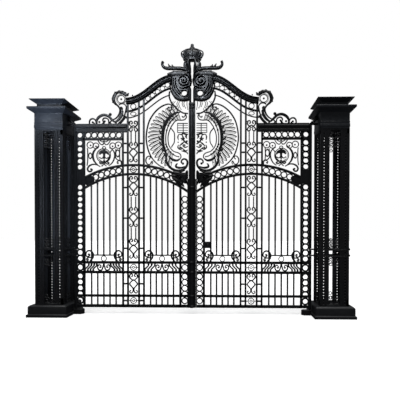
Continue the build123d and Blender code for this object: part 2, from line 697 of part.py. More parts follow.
def crown():
    """Open crown over the centre line: band, ribs, neck and ball."""
    made = prism(0, CROWN_Z, CROWN_Z + CROWN_BAND_H, 2 * CROWN_BAND_R, 12)
    made -= prism(0, CROWN_Z + 30, CROWN_Z + CROWN_BAND_H + 10, 2 * CROWN_BAND_R - 48, 12)
    top = CROWN_Z + CROWN_H
    rise = [
        (CROWN_BAND_R - 14, CROWN_Z + CROWN_BAND_H - 8),
        (CROWN_DOME_R - 14, CROWN_Z + CROWN_H * 0.43),
        (CROWN_DOME_R * 0.73, CROWN_Z + CROWN_H * 0.65),
        (0, CROWN_Z + CROWN_H * 0.74),
    ]
    rib = bar([ribbon(rise, 28)], 26)
    for i in range(CROWN_RIBS):
        made += Rot(0, 0, 360 / CROWN_RIBS * i) * rib
    made += prism(0, CROWN_Z + CROWN_H * 0.7, top - 50, 40)
    made += prism(0, top - 64, top - 12, 52)
    made += prism(0, top - 54, top - 22, 72)
    made += prism(0, top - 20, top, 30)
    return made + block(-CROWN_BAND_R + 10, -30, -30, 30, NECK_TOP, CROWN_Z + 6)


def lock_case():
    """Lock box on the inner bar of the right leaf's ring column."""
    z = BAY_Z + 263
    return block(INNER_BAR_X0, INNER_BAR_X1 + 70, -46, -LATTICE_T / 2, z, z + 136)


# ---- piers --------------------------------------------------------------------------------------------------
def pier_block(size, z0, z1):
    """Square block centred on the pier."""
    half = size / 2
    return block(PIER_X - half, PIER_X + half, -half, half, z0, z1)


def pier_plinth():
    """Foot slab, chamfered block and lower die in one profile."""
    foot, wide, slim = FOOT / 2, PLINTH / 2, SHAFT / 2
    top = FOOT_H + PLINTH_H
    return square_moulding(
        [
            (foot, 0),
            (foot, FOOT_H - 12),
            (foot - 12, FOOT_H),
            (wide, FOOT_H),
            (wide, top - 14),
            (wide - 14, top),
            (slim, top),
            (slim, SHAFT_Z),
        ]
    )


def pier_cage():
    """Corner posts with the hoops that tie them."""
    half = SHAFT / 2 - CORNER / 2
    made = None
    for sx in (-1, 1):
        for sy in (-1, 1):
            middle = Pos(PIER_X + sx * half, sy * half, SHAFT_Z + CAGE_H / 2)
            post = middle * Box(CORNER, CORNER, CAGE_H)
            made = post if made is None else made + post
    for z in (HOOP_Z, HOOP_Z + HOOP_H + HOOP_GAP):
        hoop = pier_block(SHAFT, z, z + HOOP_H)
        made += hoop - pier_block(SHAFT - 2 * CORNER, z - 1, z + HOOP_H + 1)
    return made


def pier_panels():
    """Face strips on either side of each open slit."""
    face = SHAFT / 2 - PANEL_SET - PANEL_T
    wide = SHAFT / 2 - CORNER - SLIT / 2
    x0, y0 = SLIT / 2, face
    gap_top = HOOP_Z + 2 * HOOP_H + HOOP_GAP
    spans = ((SHAFT_Z, HOOP_Z), (HOOP_Z + HOOP_H, gap_top - HOOP_H), (gap_top, CAGE_TOP))
    made = []
    for z0, z1 in spans:
        strip = block(x0, x0 + wide, y0, y0 + PANEL_T, z0, z1)
        for turn in range(4):
            made.append(Pos(PIER_X, 0, 0) * (Rot(0, 0, 90 * turn) * strip))
            other = mirror(strip, about=Plane.YZ)
            made.append(Pos(PIER_X, 0, 0) * (Rot(0, 0, 90 * turn) * other))
    return Compound(children=made)


def pier_head():
    """Frieze, collar, cornice and cap slab in one profile."""
    slim, wide, slab = SHAFT / 2, CORNICE / 2, SLAB / 2
    collar = FRIEZE_TOP - COLLAR_DOWN
    flare = CORNICE_TOP - CORNICE_H
    neck = CORNICE_TOP + CAP_NECK_H
    return square_moulding(
        [
            (slim, CAGE_TOP),
            (slim, collar),
            (slim + COLLAR_OUT, collar + 6),
            (slim + COLLAR_OUT, collar + COLLAR_H - 6),
            (slim, collar + COLLAR_H),
            (slim, flare - 70),
            (slim + 12, flare - 58),
            (slim + 30, flare - 14),
            (wide - 34, flare + 26),
            (wide - 14, flare + 34),
            (wide, flare + 42),
            (wide, CORNICE_TOP),
            (slim + 8, CORNICE_TOP),
            (slim + 8, neck),
            (slim + 24, neck + 14),
            (slab - 22, PIER_TOP - 38),
            (slab - 4, PIER_TOP - 22),
            (slab, PIER_TOP - 16),
            (slab, PIER_TOP),
        ]
    )


def fence_lug(z, seat):
    """Flat lug on the outer face that takes a fence rail."""
    x0 = PIER_X + SHAFT / 2 - seat
    x1 = PIER_X + SHAFT / 2 + LUG_LEN
    half = SLIT / 2 + 8
    return block(x0, x1, -half, half, z - LUG_H / 2, z + LUG_H / 2)


def fence_lugs(high):
    """Lugs on the hoops, and the pair that one pier has higher up."""
    lugs = [fence_lug(z, 0) for z in HOOP_ZS]
    if high:
        lugs += [fence_lug(z, PANEL_SET) for z in LUG_ZS_HIGH]
    return Compound(children=lugs)


def eye_arm(z, height, depth):
    """Arm from the pier whose eye holds a journal."""
    eye_d = 2 * (HEEL_D / 2 - EYE_CLEAR) * math.cos(math.pi / 8)
    arm = block(HEEL_X, PIER_FACE, -depth / 2, depth / 2, z, z + height)
    return arm + prism(HEEL_X, z, z + height, eye_d) - pin_hole(z - 1, z + height + 1)


def hinge_set():
    """Arms with eyes round the heel post, top socket and pivot pad."""
    made = [eye_arm(z - HOOP_H / 2, HOOP_H, ARM_T) for z in HOOP_ZS]
    made.append(eye_arm(TOP_RAIL_TOP + ARM_GAP, PIN_LEN - ARM_GAP, ARM_T + 12))
    pad_top = LEAF_BOTTOM - HEEL_RUN - ARM_GAP * 3
    half, reach = PAD_W / 2, HEEL_X - PAD_REACH
    pad = block(reach, PIER_X - FOOT / 2, -half, half, 0, pad_top) + prism(reach, 0, pad_top, PAD_W)
    hole = Cylinder(JOURNAL_R + PIN_GAP, PIN_LEN * 2)
    made.append(pad - Pos(HEEL_X, 0, pad_top) * hole)
    return Compound(children=made)


# ---- export --------------------------------------------------------------------------------------------------------
LEAF_PIECES = {
    "lattice": lattice,
    "border_rings": border_rings,
    "arch_rings": arch_rings,
    "heel_post": heel_post,
    "top_rail": top_rail,
    "pilaster_scrolls": pilaster_scrolls,
    "frieze_scrolls": frieze_scrolls,
    "shoulder_panel": shoulder_panel,
    "fan_panel": fan_panel,
    "cartouche": cartouche,
    "lower_boss": lower_boss,
    "crest_arch": crest_arch,
    "crest_rails": crest_rails,
    "crest_boss": crest_boss,
    "crest_bow": crest_bow,
    "shoulder_scroll": shoulder_scroll,
}
CUT_BACK = {
    "border_rings": ["lattice"],
    "arch_rings": ["lattice"],
    "frieze_scrolls": ["lattice"],
    "lower_boss": ["lattice"],
    "cartouche": ["lattice"],
    "fan_panel": ["lattice", "lower_boss", "cartouche"],
    "crest_boss": ["crest_arch"],
    "crest_rails": ["lattice", "crest_arch"],
    "crest_bow": ["lattice", "crest_arch", "crest_rails", "crest_boss"],
    "pilaster_scrolls": ["lattice", "arch_rings"],
    "shoulder_panel": ["lattice"],
    "shoulder_scroll": ["crest_arch"],
}
PIER_PIECES = {
    "plinth": pier_plinth,
    "cage": pier_cage,
    "panels": pier_panels,
    "head": pier_head,
    "hinges": hinge_set,
}


def save(name, shape, left=False):
    """Writes one node in the part's frame, mirrored for the left half."""
    turned = mirror(shape, about=Plane.YZ) if left else shape
    made = Pos(PIER_X, 0, 0) * turned
    made.label = name
    export_step(made, f"parts/{name}.step")


def leaf_nodes():
    """Every piece of a leaf, each cut back where an earlier one passes."""
    made = {name: make() for name, make in LEAF_PIECES.items()}
    for name, others in CUT_BACK.items():
        for other in others:
            made[name] -= made[other]
    return made


def main():
    """Writes every node of the part."""
    leaf = leaf_nodes()
    for side, left in (("left", True), ("right", False)):
        for name, made in leaf.items():
            save(f"{side}_leaf_{name}", made, left)
        for name, make in PIER_PIECES.items():
            save(f"{side}_pier_{name}", make(), left)
    save("left_pier_fence_lugs", fence_lugs(True), True)
    save("right_pier_fence_lugs", fence_lugs(False))
    save("left_leaf_centre_post", centre_post())
    save("left_leaf_crown", crown())
    save("right_leaf_lock_case", lock_case())


main()
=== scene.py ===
"""Looks of the wrought iron driveway gate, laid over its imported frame.

Drawings are in millimetres: X from the middle of the gateway, Z from the
ground, Y away from the street. What both leaves share is drawn for the
right-hand one, then mirrored.
"""

import json
import logging
import math
from dataclasses import dataclass
from enum import Enum
from typing import Callable, Sequence

import bpy
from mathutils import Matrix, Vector


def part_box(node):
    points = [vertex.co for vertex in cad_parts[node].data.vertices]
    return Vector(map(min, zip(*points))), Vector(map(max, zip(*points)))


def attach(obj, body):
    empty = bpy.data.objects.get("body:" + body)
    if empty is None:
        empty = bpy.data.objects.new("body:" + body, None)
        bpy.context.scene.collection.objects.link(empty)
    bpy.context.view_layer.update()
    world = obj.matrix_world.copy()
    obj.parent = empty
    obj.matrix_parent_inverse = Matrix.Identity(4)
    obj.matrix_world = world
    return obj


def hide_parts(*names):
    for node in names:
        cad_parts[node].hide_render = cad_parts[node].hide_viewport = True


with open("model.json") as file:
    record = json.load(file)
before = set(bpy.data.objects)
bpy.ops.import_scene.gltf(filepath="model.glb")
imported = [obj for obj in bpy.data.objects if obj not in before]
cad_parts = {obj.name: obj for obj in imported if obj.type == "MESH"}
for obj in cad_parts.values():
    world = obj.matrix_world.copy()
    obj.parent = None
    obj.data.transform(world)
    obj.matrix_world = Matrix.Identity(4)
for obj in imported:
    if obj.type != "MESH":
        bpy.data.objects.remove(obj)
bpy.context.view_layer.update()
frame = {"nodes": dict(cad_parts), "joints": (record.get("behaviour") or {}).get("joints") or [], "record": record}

MM = 0.001
SEAM = 0.0001  # metres within which the two ends of a spun ring are welded
LEAF_HINGES = {joint["child"]: joint["pos_m"][0] for joint in frame["joints"]}
CENTRE_X = sum(LEAF_HINGES.values()) / 2
BAYS = ((252, 927), (1373, 2098))  # x of the two sides of a leaf's bays

Point = tuple[float, ...]
log = logging.getLogger("gate")


class Side(Enum):
    """Which half of the gateway a piece stands in."""

    LEFT = "left"
    RIGHT = "right"


# ---- the bench: every piece is started, shaped and finished here -------------


def at(x: float, z: float, y: float = 0.0) -> Vector:
    """Place in the frame of a point of the drawing."""
    return Vector((CENTRE_X + x * MM, y * MM, z * MM))


def clear_bench() -> None:
    """Leave edit mode with nothing selected."""
    if bpy.context.mode != "OBJECT":
        bpy.ops.object.mode_set(mode="OBJECT")
    bpy.ops.object.select_all(action="DESELECT")


def pick(*pieces: bpy.types.Object) -> None:
    """Select these pieces alone and make the first the active one."""
    clear_bench()
    for piece in pieces:
        piece.select_set(True)
    bpy.context.view_layer.objects.active = pieces[0]


def settle() -> bpy.types.Object:
    """Put the active piece's place into its mesh.

    Returns:
        The active piece, at the origin, unturned and unscaled.
    """
    bpy.ops.object.transform_apply(location=True, rotation=True, scale=True)
    return bpy.context.object


def edit_all() -> None:
    """Enter edit mode on the active piece with its whole mesh selected."""
    bpy.ops.object.mode_set(mode="EDIT")
    bpy.ops.mesh.select_all(action="SELECT")


def closed() -> bpy.types.Object:
    """Turn the faces of the mesh being edited outwards and leave edit mode.

    Returns:
        The active piece.
    """
    bpy.ops.mesh.select_all(action="SELECT")
    bpy.ops.mesh.normals_make_consistent(inside=False)
    clear_bench()
    return bpy.context.object


def duplicate(piece: bpy.types.Object) -> bpy.types.Object:
    """Copy a piece in place, with its own mesh."""
    pick(piece)
    bpy.ops.object.duplicate()
    return bpy.context.object


def resized(piece: bpy.types.Object, scale: Point, centre: Vector) -> bpy.types.Object:
    """Scale a piece about a point."""
    pick(piece)
    bpy.ops.transform.resize(value=scale, center_override=centre)
    return settle()


def turned_about(piece: bpy.types.Object, angle: float, centre: Vector) -> bpy.types.Object:
    """Turn a piece's mesh about the upright axis through a point."""
    pick(piece)
    edit_all()
    bpy.ops.transform.rotate(value=angle, orient_axis="Z", center_override=centre)
    clear_bench()
    return piece


def join(name: str, parts: Sequence[bpy.types.Object], smooth: float = 40.0) -> bpy.types.Object:
    """Make one piece of several.

    Args:
        name: The piece's name.
        parts: What it is joined from.
        smooth: Angle in degrees up to which faces are shaded as one.

    Returns:
        The joined piece.
    """
    pick(*parts)
    if len(parts) > 1:
        bpy.ops.object.join()
    bpy.ops.object.shade_smooth_by_angle(angle=math.radians(smooth))
    piece = bpy.context.object
    piece.name = piece.data.name = name
    clear_bench()
    return piece


def mirrored(piece: bpy.types.Object) -> bpy.types.Object:
    """Copy a piece across the middle of the gateway, with its faces outwards."""
    twin = duplicate(piece)
    edit_all()
    bpy.ops.transform.resize(value=(-1, 1, 1), center_override=at(0, 0))
    bpy.ops.mesh.flip_normals()
    clear_bench()
    return twin


def heading(a: Vector, b: Vector) -> float:
    """Angle of the way from a to b in the plane of the leaf."""
    return math.atan2(b.z - a.z, b.x - a.x)


def tapered(count: int, *stops: float) -> list[float]:
    """Even steps through the given sizes, one for each point of a path."""
    values = []
    for i in range(count):
        t = i / max(count - 1, 1) * (len(stops) - 1)
        k = min(int(t), len(stops) - 2) if len(stops) > 1 else 0
        low, high = stops[k], stops[min(k + 1, len(stops) - 1)]
        values.append(low + (high - low) * (t - k))
    return values


def drawn_bar(path: Sequence[Point], width: Sequence[float], depth: Sequence[float],
              sides: int = 6) -> bpy.types.Object:
    """Draw a bar out along a path by extruding its section step by step.

    Args:
        path: Points (x, z) or (x, z, y) of the bar's middle.
        width: Widths seen from the front, spread evenly along the path.
        depth: Depths from front to back, spread the same way.
        sides: Sides of the section.

    Returns:
        The closed bar.
    """
    points = [at(*p) for p in path]
    last = len(points) - 1
    wide = [w / 2 * MM for w in tapered(last + 1, *width)]
    deep = [d / 2 * MM for d in tapered(last + 1, *depth)]
    ways = [heading(points[max(i - 1, 0)], points[min(i + 1, last)]) for i in range(last + 1)]
    clear_bench()
    bpy.ops.mesh.primitive_circle_add(
        vertices=sides, radius=1.0, fill_type="NGON", location=points[0],
        rotation=(math.pi / sides if sides == 4 else 0.0, math.pi / 2 - ways[0], 0.0))
    settle()
    edit_all()
    bpy.ops.transform.resize(value=(wide[0], deep[0], wide[0]), center_override=points[0])
    for i in range(1, last + 1):
        bpy.ops.mesh.extrude_region_move(TRANSFORM_OT_translate={"value": points[i] - points[i - 1]})
        turn = (ways[i] - ways[i - 1] + math.pi) % (2 * math.pi) - math.pi
        bpy.ops.transform.rotate(value=turn, orient_axis="Y", center_override=points[i])
        grow = wide[i] / wide[i - 1]
        bpy.ops.transform.resize(value=(grow, deep[i] / deep[i - 1], grow), center_override=points[i])
    return closed()


def spun_ring(x: float, z: float, radius: float, wire: float, depth: float, steps: int = 20, sides: int = 4,
              y: float = 0.0) -> bpy.types.Object:
    """Bend a bar of flat-sided section into a ring about a point.

    Args:
        x: Centre.
        z: Centre.
        radius: From the centre to the middle of the wire.
        wire: Width of the wire seen from the front.
        depth: Its depth.
        steps: Steps round the ring.
        sides: Sides of its section.
        y: Middle of its depth.

    Returns:
        The closed ring.
    """
    clear_bench()
    spread = 1 / math.cos(math.pi / sides) if sides == 4 else 1.0
    bpy.ops.mesh.primitive_circle_add(vertices=sides, radius=0.5 * spread, location=at(x + radius, z, y))
    settle()
    edit_all()
    if sides == 4:
        bpy.ops.transform.rotate(value=math.pi / 4, orient_axis="Z", center_override=at(x + radius, z, y))
    bpy.ops.transform.resize(value=(wire * MM, depth * MM, 1), center_override=at(x + radius, z, y))
    bpy.ops.mesh.spin(steps=steps, angle=2 * math.pi, center=at(x, z, y), axis=(0, 1, 0))
    bpy.ops.mesh.select_all(action="SELECT")
    bpy.ops.mesh.remove_doubles(threshold=SEAM)
    return closed()


def lathe(x: float, y: float, profile: Sequence[Point], sides: int = 24) -> bpy.types.Object:
    """Raise a round or square form through a profile.

    Args:
        x: Its upright axis.
        y: Its upright axis.
        profile: Pairs (radius, z) from the foot up; a square form's radius
            is half its width.
        sides: 4 makes a square form.

    Returns:
        The closed form.
    """
    spread = math.sqrt(2) if sides == 4 else 1.0
    clear_bench()
    radius, z = profile[0]
    bpy.ops.mesh.primitive_circle_add(
        vertices=sides, radius=radius * spread * MM, fill_type="NGON", location=at(x, z, y),
        rotation=(0, 0, math.pi / 4))
    settle()
    edit_all()
    for (r0, z0), (r1, z1) in zip(profile, profile[1:]):
        bpy.ops.mesh.extrude_region_move(TRANSFORM_OT_translate={"value": (0, 0, (z1 - z0) * MM)})
        bpy.ops.transform.resize(value=(r1 / r0, r1 / r0, 1), center_override=at(x, z1, y))
    return closed()


def flat_bar(x0: float, x1: float, z0: float, z1: float, y0: float, y1: float,
             edge: float = 2.0) -> bpy.types.Object:
    """Forge a straight flat bar with eased edges between two corners."""
    clear_bench()
    bpy.ops.mesh.primitive_cube_add(
        size=1.0, location=at((x0 + x1) / 2, (z0 + z1) / 2, (y0 + y1) / 2),
        scale=((x1 - x0) * MM, (y1 - y0) * MM, (z1 - z0) * MM))
    settle()
    edit_all()
    bpy.ops.mesh.bevel(offset=edge * MM, segments=1, affect="EDGES")
    clear_bench()
    return bpy.context.object


def eased(piece: bpy.types.Object, width: float) -> bpy.types.Object:
    """Ease a piece's sharp edges."""
    pick(piece)
    modifier = piece.modifiers.new("eased", "BEVEL")
    modifier.width = width * MM
    modifier.segments = 2
    modifier.limit_method = "ANGLE"
    bpy.ops.object.modifier_apply(modifier=modifier.name)
    return piece


def rowed(piece: bpy.types.Object, count: int, dx: float = 0.0, dz: float = 0.0) -> bpy.types.Object:
    """Repeat a piece in a row."""
    pick(piece)
    modifier = piece.modifiers.new("row", "ARRAY")
    modifier.count = count
    modifier.use_relative_offset = False
    modifier.use_constant_offset = True
    modifier.constant_offset_displace = (dx * MM, 0, dz * MM)
    bpy.ops.object.modifier_apply(modifier=modifier.name)
    return piece


# ---- paths -------------------------------------------------------------------


def polar(x: float, z: float, radius: float, angle: float) -> Point:
    """Point at an angle in degrees about a centre."""
    return (x + radius * math.cos(math.radians(angle)), z + radius * math.sin(math.radians(angle)))


def arc(x: float, z: float, radius: float, start: float, end: float, count: int = 12) -> list[Point]:
    """Points along an arc, angles in degrees."""
    return [polar(x, z, radius, start + (end - start) * i / count) for i in range(count + 1)]


def bearings(centre: float, radius: float, *xs: float) -> list[float]:
    """Angles in degrees at which a circle passes over each x."""
    return [math.degrees(math.acos((x - centre) / radius)) for x in xs]


def coil(x: float, z: float, outer: float, inner: float, start: float, turns: float,
         count: int = 24) -> list[Point]:
    """Points along a coil that winds from its outer to its inner radius."""
    return [polar(x, z, outer + (inner - outer) * i / count, start + 360 * turns * i / count)
            for i in range(count + 1)]


def sweep_curve(stops: Sequence[Point], steps: int = 6) -> list[Point]:
    """Points along a smooth curve through every stop."""
    points = []
    last = len(stops) - 1
    for i in range(last):
        p0, p1, p2, p3 = stops[max(i - 1, 0)], stops[i], stops[i + 1], stops[min(i + 2, last)]
        for k in range(steps):
            t = k / steps
            points.append(tuple(
                0.5 * (2 * b + (c - a) * t + (2 * a - 5 * b + 4 * c - d) * t * t
                       + (3 * b - a - 3 * c + d) * t ** 3)
                for a, b, c, d in zip(p0, p1, p2, p3)))
    points.append(tuple(stops[-1]))
    return points


# ---- finishes ----------------------------------------------------------------


def new_group(name: str, inputs: dict[str, float], outputs: Sequence[str]) -> bpy.types.ShaderNodeTree:
    """Start a node group with named number sockets."""
    group = bpy.data.node_groups.new(name, "ShaderNodeTree")
    for label, value in inputs.items():
        group.interface.new_socket(label, in_out="INPUT", socket_type="NodeSocketFloat").default_value = value
    for label in outputs:
        group.interface.new_socket(label, in_out="OUTPUT", socket_type="NodeSocketFloat")
    return group


def wired(tree: bpy.types.NodeTree, kind: str, links: dict[str, object] | None = None,
          **settings: object) -> bpy.types.Node:
    """Add a node, set its properties and feed its sockets.

    Args:
        tree: Where it goes.
        kind: The node's type, without its common start.
        links: Socket name or number to a value or an output socket.
        **settings: Properties of the node.

    Returns:
        The node.
    """
    node = tree.nodes.new("ShaderNode" + kind)
    for key, value in settings.items():
        setattr(node, key, value)
    for key, value in (links or {}).items():
        socket = node.inputs[key]
        if isinstance(value, bpy.types.NodeSocket):
            tree.links.new(value, socket)
        else:
            socket.default_value = value
    return node


def blended(tree: bpy.types.NodeTree, mask: object, low: object, high: object) -> bpy.types.NodeSocket:
    """Blend two colours by a mask.

    Returns:
        The colour output.
    """
    node = tree.nodes.new("ShaderNodeMix")
    node.data_type = "RGBA"
    for socket, value in ((node.inputs[0], mask), (node.inputs[6], low), (node.inputs[7], high)):
        if isinstance(value, bpy.types.NodeSocket):
            tree.links.new(value, socket)
        else:
            socket.default_value = value
    return node.outputs[2]


def edge_wear_group() -> bpy.types.ShaderNodeTree:
    """Mask of the worn arrises, broken up by fine noise."""
    group = new_group("edge_wear", {"Reach": 0.003, "Amount": 0.5}, ["Mask"])
    ends = group.nodes.new("NodeGroupInput"), group.nodes.new("NodeGroupOutput")
    rounded = wired(group, "Bevel", {"Radius": ends[0].outputs["Reach"]}, samples=4)
    flat = wired(group, "NewGeometry")
    same = wired(group, "VectorMath", {0: rounded.outputs["Normal"], 1: flat.outputs["Normal"]},
                 operation="DOT_PRODUCT")
    bent = wired(group, "Math", {0: 1.0, 1: same.outputs["Value"]}, operation="SUBTRACT")
    place = wired(group, "TexCoord")
    grain = wired(group, "TexNoise", {"Vector": place.outputs["Object"], "Scale": 34.0, "Detail": 3.0})
    patchy = wired(group, "MapRange", {"Value": grain.outputs["Fac"], "From Min": 0.42, "From Max": 0.62})
    strong = wired(group, "MapRange", {"Value": bent.outputs[0], "From Min": 0.04, "From Max": 0.22})
    both = wired(group, "Math", {0: strong.outputs[0], 1: patchy.outputs[0]}, operation="MULTIPLY")
    out = wired(group, "Math", {0: both.outputs[0], 1: ends[0].outputs["Amount"]}, operation="MULTIPLY",
                use_clamp=True)
    group.links.new(out.outputs[0], ends[1].inputs["Mask"])
    return group


def dust_group() -> bpy.types.ShaderNodeTree:
    """Mask of the dust that settles on upward faces and clings in patches."""
    group = new_group("settled_dust", {"Amount": 0.5, "Scale": 3.0}, ["Mask"])
    ends = group.nodes.new("NodeGroupInput"), group.nodes.new("NodeGroupOutput")
    facing = wired(group, "NewGeometry")
    parts = wired(group, "SeparateXYZ", {0: facing.outputs["Normal"]})
    upward = wired(group, "MapRange", {"Value": parts.outputs["Z"], "From Min": 0.35, "From Max": 0.95,
                                       "To Min": 0.03})
    place = wired(group, "TexCoord")
    cloud = wired(group, "TexNoise", {"Vector": place.outputs["Object"], "Scale": ends[0].outputs["Scale"],
                                      "Detail": 6.0,
                                     "Roughness": 0.65})
    patchy = wired(group, "MapRange", {"Value": cloud.outputs["Fac"], "From Min": 0.35, "From Max": 0.7})
    both = wired(group, "Math", {0: upward.outputs[0], 1: patchy.outputs[0]}, operation="MULTIPLY")
    out = wired(group, "Math", {0: both.outputs[0], 1: ends[0].outputs["Amount"]}, operation="MULTIPLY",
                use_clamp=True)
    group.links.new(out.outputs[0], ends[1].inputs["Mask"])
    return group


def paint_group() -> bpy.types.ShaderNodeTree:
    """Tone of brushed paint and the height of the hammered iron below it."""
    group = new_group("brushed_paint", {"Grain": 18.0, "Hammer": 55.0}, ["Tone", "Height"])
    ends = group.nodes.new("NodeGroupInput"), group.nodes.new("NodeGroupOutput")
    place = wired(group, "TexCoord")
    tone = wired(group, "TexNoise", {"Vector": place.outputs["Object"], "Scale": ends[0].outputs["Grain"],
                                     "Detail": 5.0})
    dents = wired(group, "TexVoronoi", {"Vector": place.outputs["Object"], "Scale": ends[0].outputs["Hammer"],
                                       "Smoothness": 1.0}, feature="SMOOTH_F1")
    pores = wired(group, "TexNoise", {"Vector": place.outputs["Object"], "Scale": 260.0, "Detail": 2.0})
    height = wired(group, "Math", {0: pores.outputs["Fac"], 1: 0.25, 2: dents.outputs["Distance"]},
                   operation="MULTIPLY_ADD")
    group.links.new(tone.outputs["Fac"], ends[1].inputs["Tone"])
    group.links.new(height.outputs[0], ends[1].inputs["Height"])
    return group


@dataclass(frozen=True)
class PaintedIron:
    """Satin black paint over wrought iron.

    Attributes:
        name: The material's name.
        slot: The record's material slot.
        colour: Paint.
        worn: Rubbed arrises.
        dust: Colour of the dust.
        roughness: Lowest and highest roughness of the paint.
        wear: How much of the arrises is rubbed.
        dusty: How much dust lies on it.
        hammered: Strength of the hammer marks.
        gloss: Specular level of the paint.
    """

    name: str
    slot: str
    colour: tuple[float, float, float]
    worn: tuple[float, float, float] = (0.17, 0.175, 0.185)
    dust: tuple[float, float, float] = (0.14, 0.145, 0.15)
    roughness: tuple[float, float] = (0.3, 0.5)
    wear: float = 0.5
    dusty: float = 0.18
    hammered: float = 0.25
    gloss: float = 0.45

    def made(self, groups: dict[str, bpy.types.ShaderNodeTree]) -> bpy.types.Material:
        """Build the material.

        Args:
            groups: The shared effects by name.

        Returns:
            The material.
        """
        material = bpy.data.materials.new(self.name)
        material.use_nodes = True
        tree = material.node_tree
        shader = tree.nodes["Principled BSDF"]
        effects = {}
        for key in ("edge_wear", "settled_dust", "brushed_paint"):
            effects[key] = tree.nodes.new("ShaderNodeGroup")
            effects[key].node_tree = groups[key]
        effects["edge_wear"].inputs["Amount"].default_value = self.wear
        effects["settled_dust"].inputs["Amount"].default_value = self.dusty
        paint, wear, dust = effects["brushed_paint"], effects["edge_wear"], effects["settled_dust"]
        dark = (*(c * 0.72 for c in self.colour), 1.0)
        light = (*(min(c * 1.5, 1.0) for c in self.colour), 1.0)
        base = blended(tree, paint.outputs["Tone"], dark, light)
        rubbed = blended(tree, wear.outputs["Mask"], base, (*self.worn, 1.0))
        colour = blended(tree, dust.outputs["Mask"], rubbed, (*self.dust, 1.0))
        tree.links.new(colour, shader.inputs["Base Color"])
        low, high = self.roughness
        sheen = wired(tree, "MapRange", {"Value": paint.outputs["Tone"], "From Min": 0.3, "From Max": 0.7,
                                         "To Min": low,
                                        "To Max": high})
        dull = wired(tree, "Math", {0: dust.outputs["Mask"], 1: 0.45, 2: sheen.outputs[0]},
                     operation="MULTIPLY_ADD",
                     use_clamp=True)
        tree.links.new(dull.outputs[0], shader.inputs["Roughness"])
        shader.inputs["Specular IOR Level"].default_value = self.gloss
        metal = wired(tree, "Math", {0: wear.outputs["Mask"], 1: 0.8}, operation="MULTIPLY")
        tree.links.new(metal.outputs[0], shader.inputs["Metallic"])
        bump = wired(tree, "Bump", {"Height": paint.outputs["Height"], "Strength": self.hammered,
                                    "Distance": 0.002})
        tree.links.new(bump.outputs["Normal"], shader.inputs["Normal"])
        return material


LEAF_IRON = PaintedIron("leaf_iron_paint", "leaf_iron", (0.0055, 0.006, 0.0075))
PIER_IRON = PaintedIron("pier_iron_paint", "pier_iron", (0.0055, 0.006, 0.0075), hammered=0.15)
# Lighter, bluer paint for the pier heads: a painted sheen that stands in for the cool light falling on them.
PIER_HEAD_PAINTED_SHEEN = PaintedIron("pier_head_painted_sheen", "pier_head", (0.02, 0.023, 0.029), hammered=0.1)
# Much lighter paint for the inner skin of the piers: painted light, standing in for the light that falls into the
# hollow piers through their slits.
PIER_INSIDE_PAINTED_LIGHT = PaintedIron("pier_inside_painted_light", "pier_inside", (0.06, 0.065, 0.075), gloss=0.5)
HINGE_IRON = PaintedIron("hinge_iron_paint", "hinge_iron", (0.008, 0.008, 0.009), wear=0.8, hammered=0.4)


@dataclass
class PaintShop:
    """Holds the finishes and dresses pieces with them."""

    materials: dict[str, bpy.types.Material]

    @classmethod
    def opened(cls) -> "PaintShop":
        """Mix every finish.

        Returns:
            The shop.
        """
        groups = {group.name: group for group in (edge_wear_group(), dust_group(), paint_group())}
        finishes = (LEAF_IRON, PIER_IRON, PIER_HEAD_PAINTED_SHEEN, PIER_INSIDE_PAINTED_LIGHT, HINGE_IRON)
        return cls({finish.slot: finish.made(groups) for finish in finishes})

    def coat(self, piece: bpy.types.Object, slot: str) -> None:
        """Give a piece one finish all over."""
        piece.data.materials.clear()
        piece.data.materials.append(self.materials[slot])

    def coat_frame(self) -> None:
        """Finish the nodes of the frame by their record slots."""
        for part in frame["record"]["subparts"]:
            self.coat(frame["nodes"][part["node"]], part["material_slot"])

    def hang(self, piece: bpy.types.Object, body: str, slot: str, *nodes: str) -> None:
        """Finish a new piece and let it ride.

        Args:
            piece: What was made.
            body: The body it moves with.
            slot: The finish.
            *nodes: Nodes of the frame that it stands for.
        """
        self.coat(piece, slot)
        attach(piece, body)
        if nodes:
            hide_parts(*nodes)
        log.info("%s rides %s, %d faces", piece.name, body, len(piece.data.polygons))


def hang_pair(shop: PaintShop, piece: bpy.types.Object, part: str, *nodes: str) -> None:
    """Hang a right-hand piece and its mirrored twin.

    Args:
        shop: Where it is finished.
        piece: The right-hand piece.
        part: The pieces' name after the side.
        *nodes: Names after the leaf of the nodes that it stands for.
    """
    twin = mirrored(piece)
    for side, one in ((Side.RIGHT, piece), (Side.LEFT, twin)):
        body = f"{side.value}_leaf"
        one.name = one.data.name = f"{side.value}_{part}"
        shop.hang(one, body, "leaf_iron", *(f"{body}_{node}" for node in nodes))


# ---- piers -------------------------------------------------------------------


